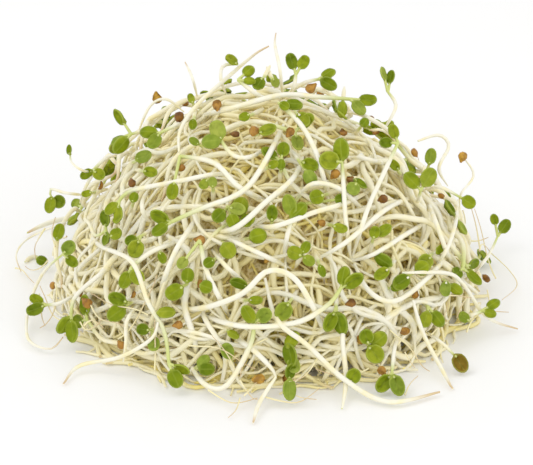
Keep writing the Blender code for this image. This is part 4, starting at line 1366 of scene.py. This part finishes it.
class SPROUTS_OT_front(bpy.types.Operator):
    """Lay the sprouts that are read off the view one by one"""

    bl_idname = "sprouts.front"
    bl_label = "Front sprouts"

    def execute(self, context):
        made = shared()
        rng, pile = made["rng"], made["pile"]
        tubes, blades = [], []
        for path, lifts, radius, leaves in TANGLED:
            radius = radius * STEM_SLIMMING
            way = view_way(path, lifts, radius, pile)
            # Painted light: these sprouts lie on top and get a high tint, and so the whitest
            # stem colour
            tint_and_depth_shade = rng.uniform(0.85, 1.0)
            parts = sprout_parts(way, radius, leaves, tint_and_depth_shade, made, lifts[2] > 1.0)
            tubes += parts[0]
            blades += parts[1]
        for leaf in SINGLE_LEAVES:
            parts = self.single(leaf, made)
            tubes += parts[0]
            blades += parts[1]
        ready(tube_object("front_stems", tubes, made["materials"]["stem"]),
              "tangled_sprouts")
        ready(joined("front_leaves", blades), "tangled_sprouts")
        return {"FINISHED"}

    def single(self, leaf, made):
        """A leaf whose stem goes down into the tangle."""
        rng, pile = made["rng"], made["pile"]
        across, down, length, _ = leaf
        turn = rng.uniform(0.0, math.tau)
        start = (across - math.cos(turn) * length * 0.62,
                 down - math.sin(turn) * length * 0.62)
        end = (start[0] - math.cos(turn) * 14.0, start[1] - math.sin(turn) * 14.0)
        way = view_way([start, end], (0.6, -2.0, -4.5), 0.5, pile)
        return sprout_parts(way, 0.5, [leaf], rng.uniform(0.5, 0.9), made)


class SPROUTS_OT_loose(bpy.types.Operator):
    """Lay the sprouts that lie loose on the heap, each in its own place"""

    bl_idname = "sprouts.loose"
    bl_label = "Loose sprouts"

    def execute(self, context):
        made = shared()
        rng, pile = made["rng"], made["pile"]
        for name, (path, lifts, radius, leaves) in LOOSE.items():
            radius = radius * STEM_SLIMMING
            way = view_way(path, self.tucked(name, lifts, leaves), radius, pile)
            # Painted light: a loose sprout lies on top and gets a high tint, and so the whitest
            # stem colour
            tubes, blades = sprout_parts(
                way, radius, leaves, rng.uniform(0.92, 1.0), made,
                name in ROOT_TIPS, name == "brown_leaf")
            stem = tube_object(name, tubes, made["materials"]["stem"])
            thing = joined("sprout_" + name, [stem] + blades)
            ready(thing, "loose_" + name)
        for name, (x, y, heading) in BACK_LOOSE.items():
            start = np.array([(x, y, 0.012)])
            ahead = np.array([(math.cos(heading), math.sin(heading), -0.2)])
            line = wander(start, ahead, np.array([BACK_LENGTH]), np.array([BACK_BEND]),
                          np.array([BACK_WAVE]), 21)[0]
            radii = np.full(len(line), BACK_RADIUS)
            wanted = lift_along((1.8, 1.3, 1.0), np.linspace(0.0, 1.0, len(line)))
            way = smooth_way(laid(line, wanted, radii, radii > 0.0, pile), FINE_STEP)
            tubes = [(way, stem_radii(len(way), BACK_RADIUS, True), 0.9,
                      np.linspace(0.0, 1.0, len(way)))]
            blades = leaf_pair(way, made, tubes, 0.9)
            stem = tube_object(name, tubes, made["materials"]["stem"])
            thing = joined("sprout_" + name, [stem] + blades)
            ready(thing, "loose_" + name)
        return {"FINISHED"}

    def tucked(self, name, lifts, leaves):
        """Heights of a loose sprout whose hidden ends go under others."""
        first = lifts[0] if leaves or name in ROOT_TIPS else -TUCK
        return first, lifts[1], lifts[2] if name in ROOT_TIPS else -TUCK


class SPROUTS_OT_hulls(bpy.types.Operator):
    """Drop the brown seed hulls on the heap"""

    bl_idname = "sprouts.hulls"
    bl_label = "Seed hulls"

    def execute(self, context):
        made = shared()
        rng, pile = made["rng"], made["pile"]
        hulls = []
        for place in HULLS:
            point = from_view(np.array([place], float), np.array([0.0008]))[0]
            point = self.clear(point, pile)
            hulls.append(self.hull(point, -FORWARD, 1.0, rng, made))
        for index in range(RULE_HULLS):
            spot = spread_place(index * 7 % RULE_HULLS, RULE_HULLS, 0.05, 0.96)
            foot = onto_heap(spot[None], np.zeros(1))[0]
            normal = heap_normal(foot[None])[0]
            front = shown_in_front(foot)
            if front and index % 2:
                continue
            lift = SUNK_HULL if front else 0.0
            middle = foot + normal * lift
            hulls.append(self.hull(middle, normal, RULE_HULL_SCALE, rng, made))
        ready(joined("seed_hulls", hulls), "tangled_sprouts")
        return {"FINISHED"}

    def clear(self, point, pile):
        """Bring a hull towards the view until it is seen."""
        for _ in range(8):
            foot = onto_heap(point[None], np.zeros(1))
            near = pile.near(foot)
            if near is None:
                break
            away = np.linalg.norm(foot - near[:, :3], axis=1)
            tops = (near[:, 3] + near[:, 4])[away < HIDING_REACH]
            if len(tops) == 0 or tops.max() < heap_distance(point[None])[0] + 0.0004:
                break
            point = point - FORWARD * CLEARING_STEP
        return point

    def hull(self, middle, face, scale, rng, made):
        """One hull, turned its own way."""
        length = settings().hull_length * scale * rng.uniform(0.85, 1.15)
        along = np.array([rng.gauss(0, 1) for _ in range(3)])
        face = unit(face + np.array([rng.gauss(0, 0.4) for _ in range(3)]))
        along = unit(along - face * (along @ face))
        place = placement(middle, along, face, length, length, length)
        kind = rng.choice(made["hulls"])
        return copied(kind, "hull", place, rng.random(), made["materials"]["hull"])


class SPROUTS_OT_roots(bpy.types.Operator):
    """Lay the hair-thin roots near the foot"""

    bl_idname = "sprouts.roots"
    bl_label = "Fine roots"

    def execute(self, context):
        made = shared()
        rng, draw = made["rng"], made["draw"]
        tubes = []
        for path in FINE_ROOTS:
            places = smooth_way(path, 3.0)
            way = from_view(places, np.full(len(places), 0.0009))
            tubes.append(self.root(smooth_way(above_floor(way, ROOT_REST), FINE_STEP), rng))
        count = RULE_ROOTS
        spots = np.array([spread_place(index, count, 0.01, 0.30) for index in range(count)])
        headings = draw.normal(size=(count, 3)) * (1.0, 1.0, 0.5) - (0.0, 0.0, 0.3)
        lines = wander(
            spots, headings, draw.uniform(*ROOT_LENGTHS, count),
            draw.uniform(-120.0, 120.0, count), draw.uniform(0.0, 120.0, count), 12)
        for line in lines:
            line = trimmed(line, ROOT_REACH)
            if len(line) < 5:
                continue
            lifts = np.linspace(0.0004, rng.uniform(0.0012, 0.003), len(line))
            way = above_floor(line + heap_normal(line) * lifts[:, None], ROOT_REST)
            tubes.append(self.root(way, rng))
        ready(tube_object("fine_roots", tubes, made["materials"]["stem"], 4),
              "tangled_sprouts")
        return {"FINISHED"}

    def root(self, way, rng):
        """A hair-thin root that tapers to its tip."""
        radii = np.linspace(rng.uniform(*ROOT_RADII), ROOT_TIP, len(way))
        return way, radii, 0.4, np.linspace(0.84, 1.0, len(way))


class SPROUTS_OT_stage(bpy.types.Operator):
    """Add the floor, the lights, the pale world and the camera"""

    bl_idname = "sprouts.stage"
    bl_label = "Stage"

    def execute(self, context):
        scene = context.scene
        bpy.ops.object.select_all(action="DESELECT")
        bpy.ops.mesh.primitive_plane_add(size=6.0, location=(0.0, 0.0, -0.0001))
        floor = context.view_layer.objects.active
        floor.name = "floor"
        bpy.ops.object.transform_apply(location=True)
        floor.data.materials.append(floor_material())
        for name, (place, width, power) in LAMPS.items():
            self.lamp(name, place, width, power)
        world = bpy.data.worlds.new("pale_world")
        world.use_nodes = True
        sky = world.node_tree.nodes["Background"]
        sky.inputs["Color"].default_value = (1.0, 1.0, 1.0, 1.0)
        sky.inputs["Strength"].default_value = SKY_STRENGTH
        scene.world = world
        scene.view_settings.view_transform = "Standard"
        scene.view_settings.gamma = VIEW_GAMMA
        lens = bpy.data.cameras.new("camera")
        lens.lens = LENS
        lens.sensor_width = 36.0
        camera = bpy.data.objects.new("camera", lens)
        scene.collection.objects.link(camera)
        camera.location = VIEW_AIM - FORWARD * VIEW_DISTANCE
        camera.rotation_euler = (math.pi / 2.0 - VIEW_TILT, 0.0, 0.0)
        scene.camera = camera
        return {"FINISHED"}

    def lamp(self, name, place, width, power):
        """A soft square light that faces the heap."""
        light = bpy.data.lights.new(name, "AREA")
        light.size = width
        light.energy = power
        thing = bpy.data.objects.new(name, light)
        bpy.context.scene.collection.objects.link(thing)
        thing.location = place
        aim = LAMP_AIM - Vector(place)
        thing.rotation_euler = aim.to_track_quat("-Z", "Y").to_euler()


class SPROUTS_PT_panel(bpy.types.Panel):
    """The heap's steps and sizes"""

    bl_label = "Sprout heap"
    bl_idname = "SPROUTS_PT_panel"
    bl_space_type = "VIEW_3D"
    bl_region_type = "UI"
    bl_category = "Sprouts"

    def draw(self, context):
        for name in SproutHeapSettings.__annotations__:
            self.layout.prop(context.scene.sprout_heap, name)
        for kind in OPERATORS:
            self.layout.operator(kind.bl_idname)


OPERATORS = (
    SPROUTS_OT_core, SPROUTS_OT_tangle, SPROUTS_OT_leafy, SPROUTS_OT_front,
    SPROUTS_OT_loose, SPROUTS_OT_hulls, SPROUTS_OT_roots, SPROUTS_OT_stage,
)


def register():
    for kind in (SproutHeapSettings, *OPERATORS, SPROUTS_PT_panel):
        bpy.utils.register_class(kind)
    bpy.types.Scene.sprout_heap = PointerProperty(type=SproutHeapSettings)


def unregister():
    del bpy.types.Scene.sprout_heap
    for kind in (SPROUTS_PT_panel, *reversed(OPERATORS), SproutHeapSettings):
        bpy.utils.unregister_class(kind)


def main():
    """Build every piece."""
    register()
    bpy.ops.sprouts.core()
    bpy.ops.sprouts.tangle()
    bpy.ops.sprouts.leafy()
    bpy.ops.sprouts.front()
    bpy.ops.sprouts.loose()
    bpy.ops.sprouts.hulls()
    bpy.ops.sprouts.roots()
    bpy.ops.sprouts.stage()
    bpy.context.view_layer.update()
    for master in MADE["leaves"] + MADE["hulls"]:
        bpy.data.objects.remove(master)


if __name__ == "__main__":
    main()
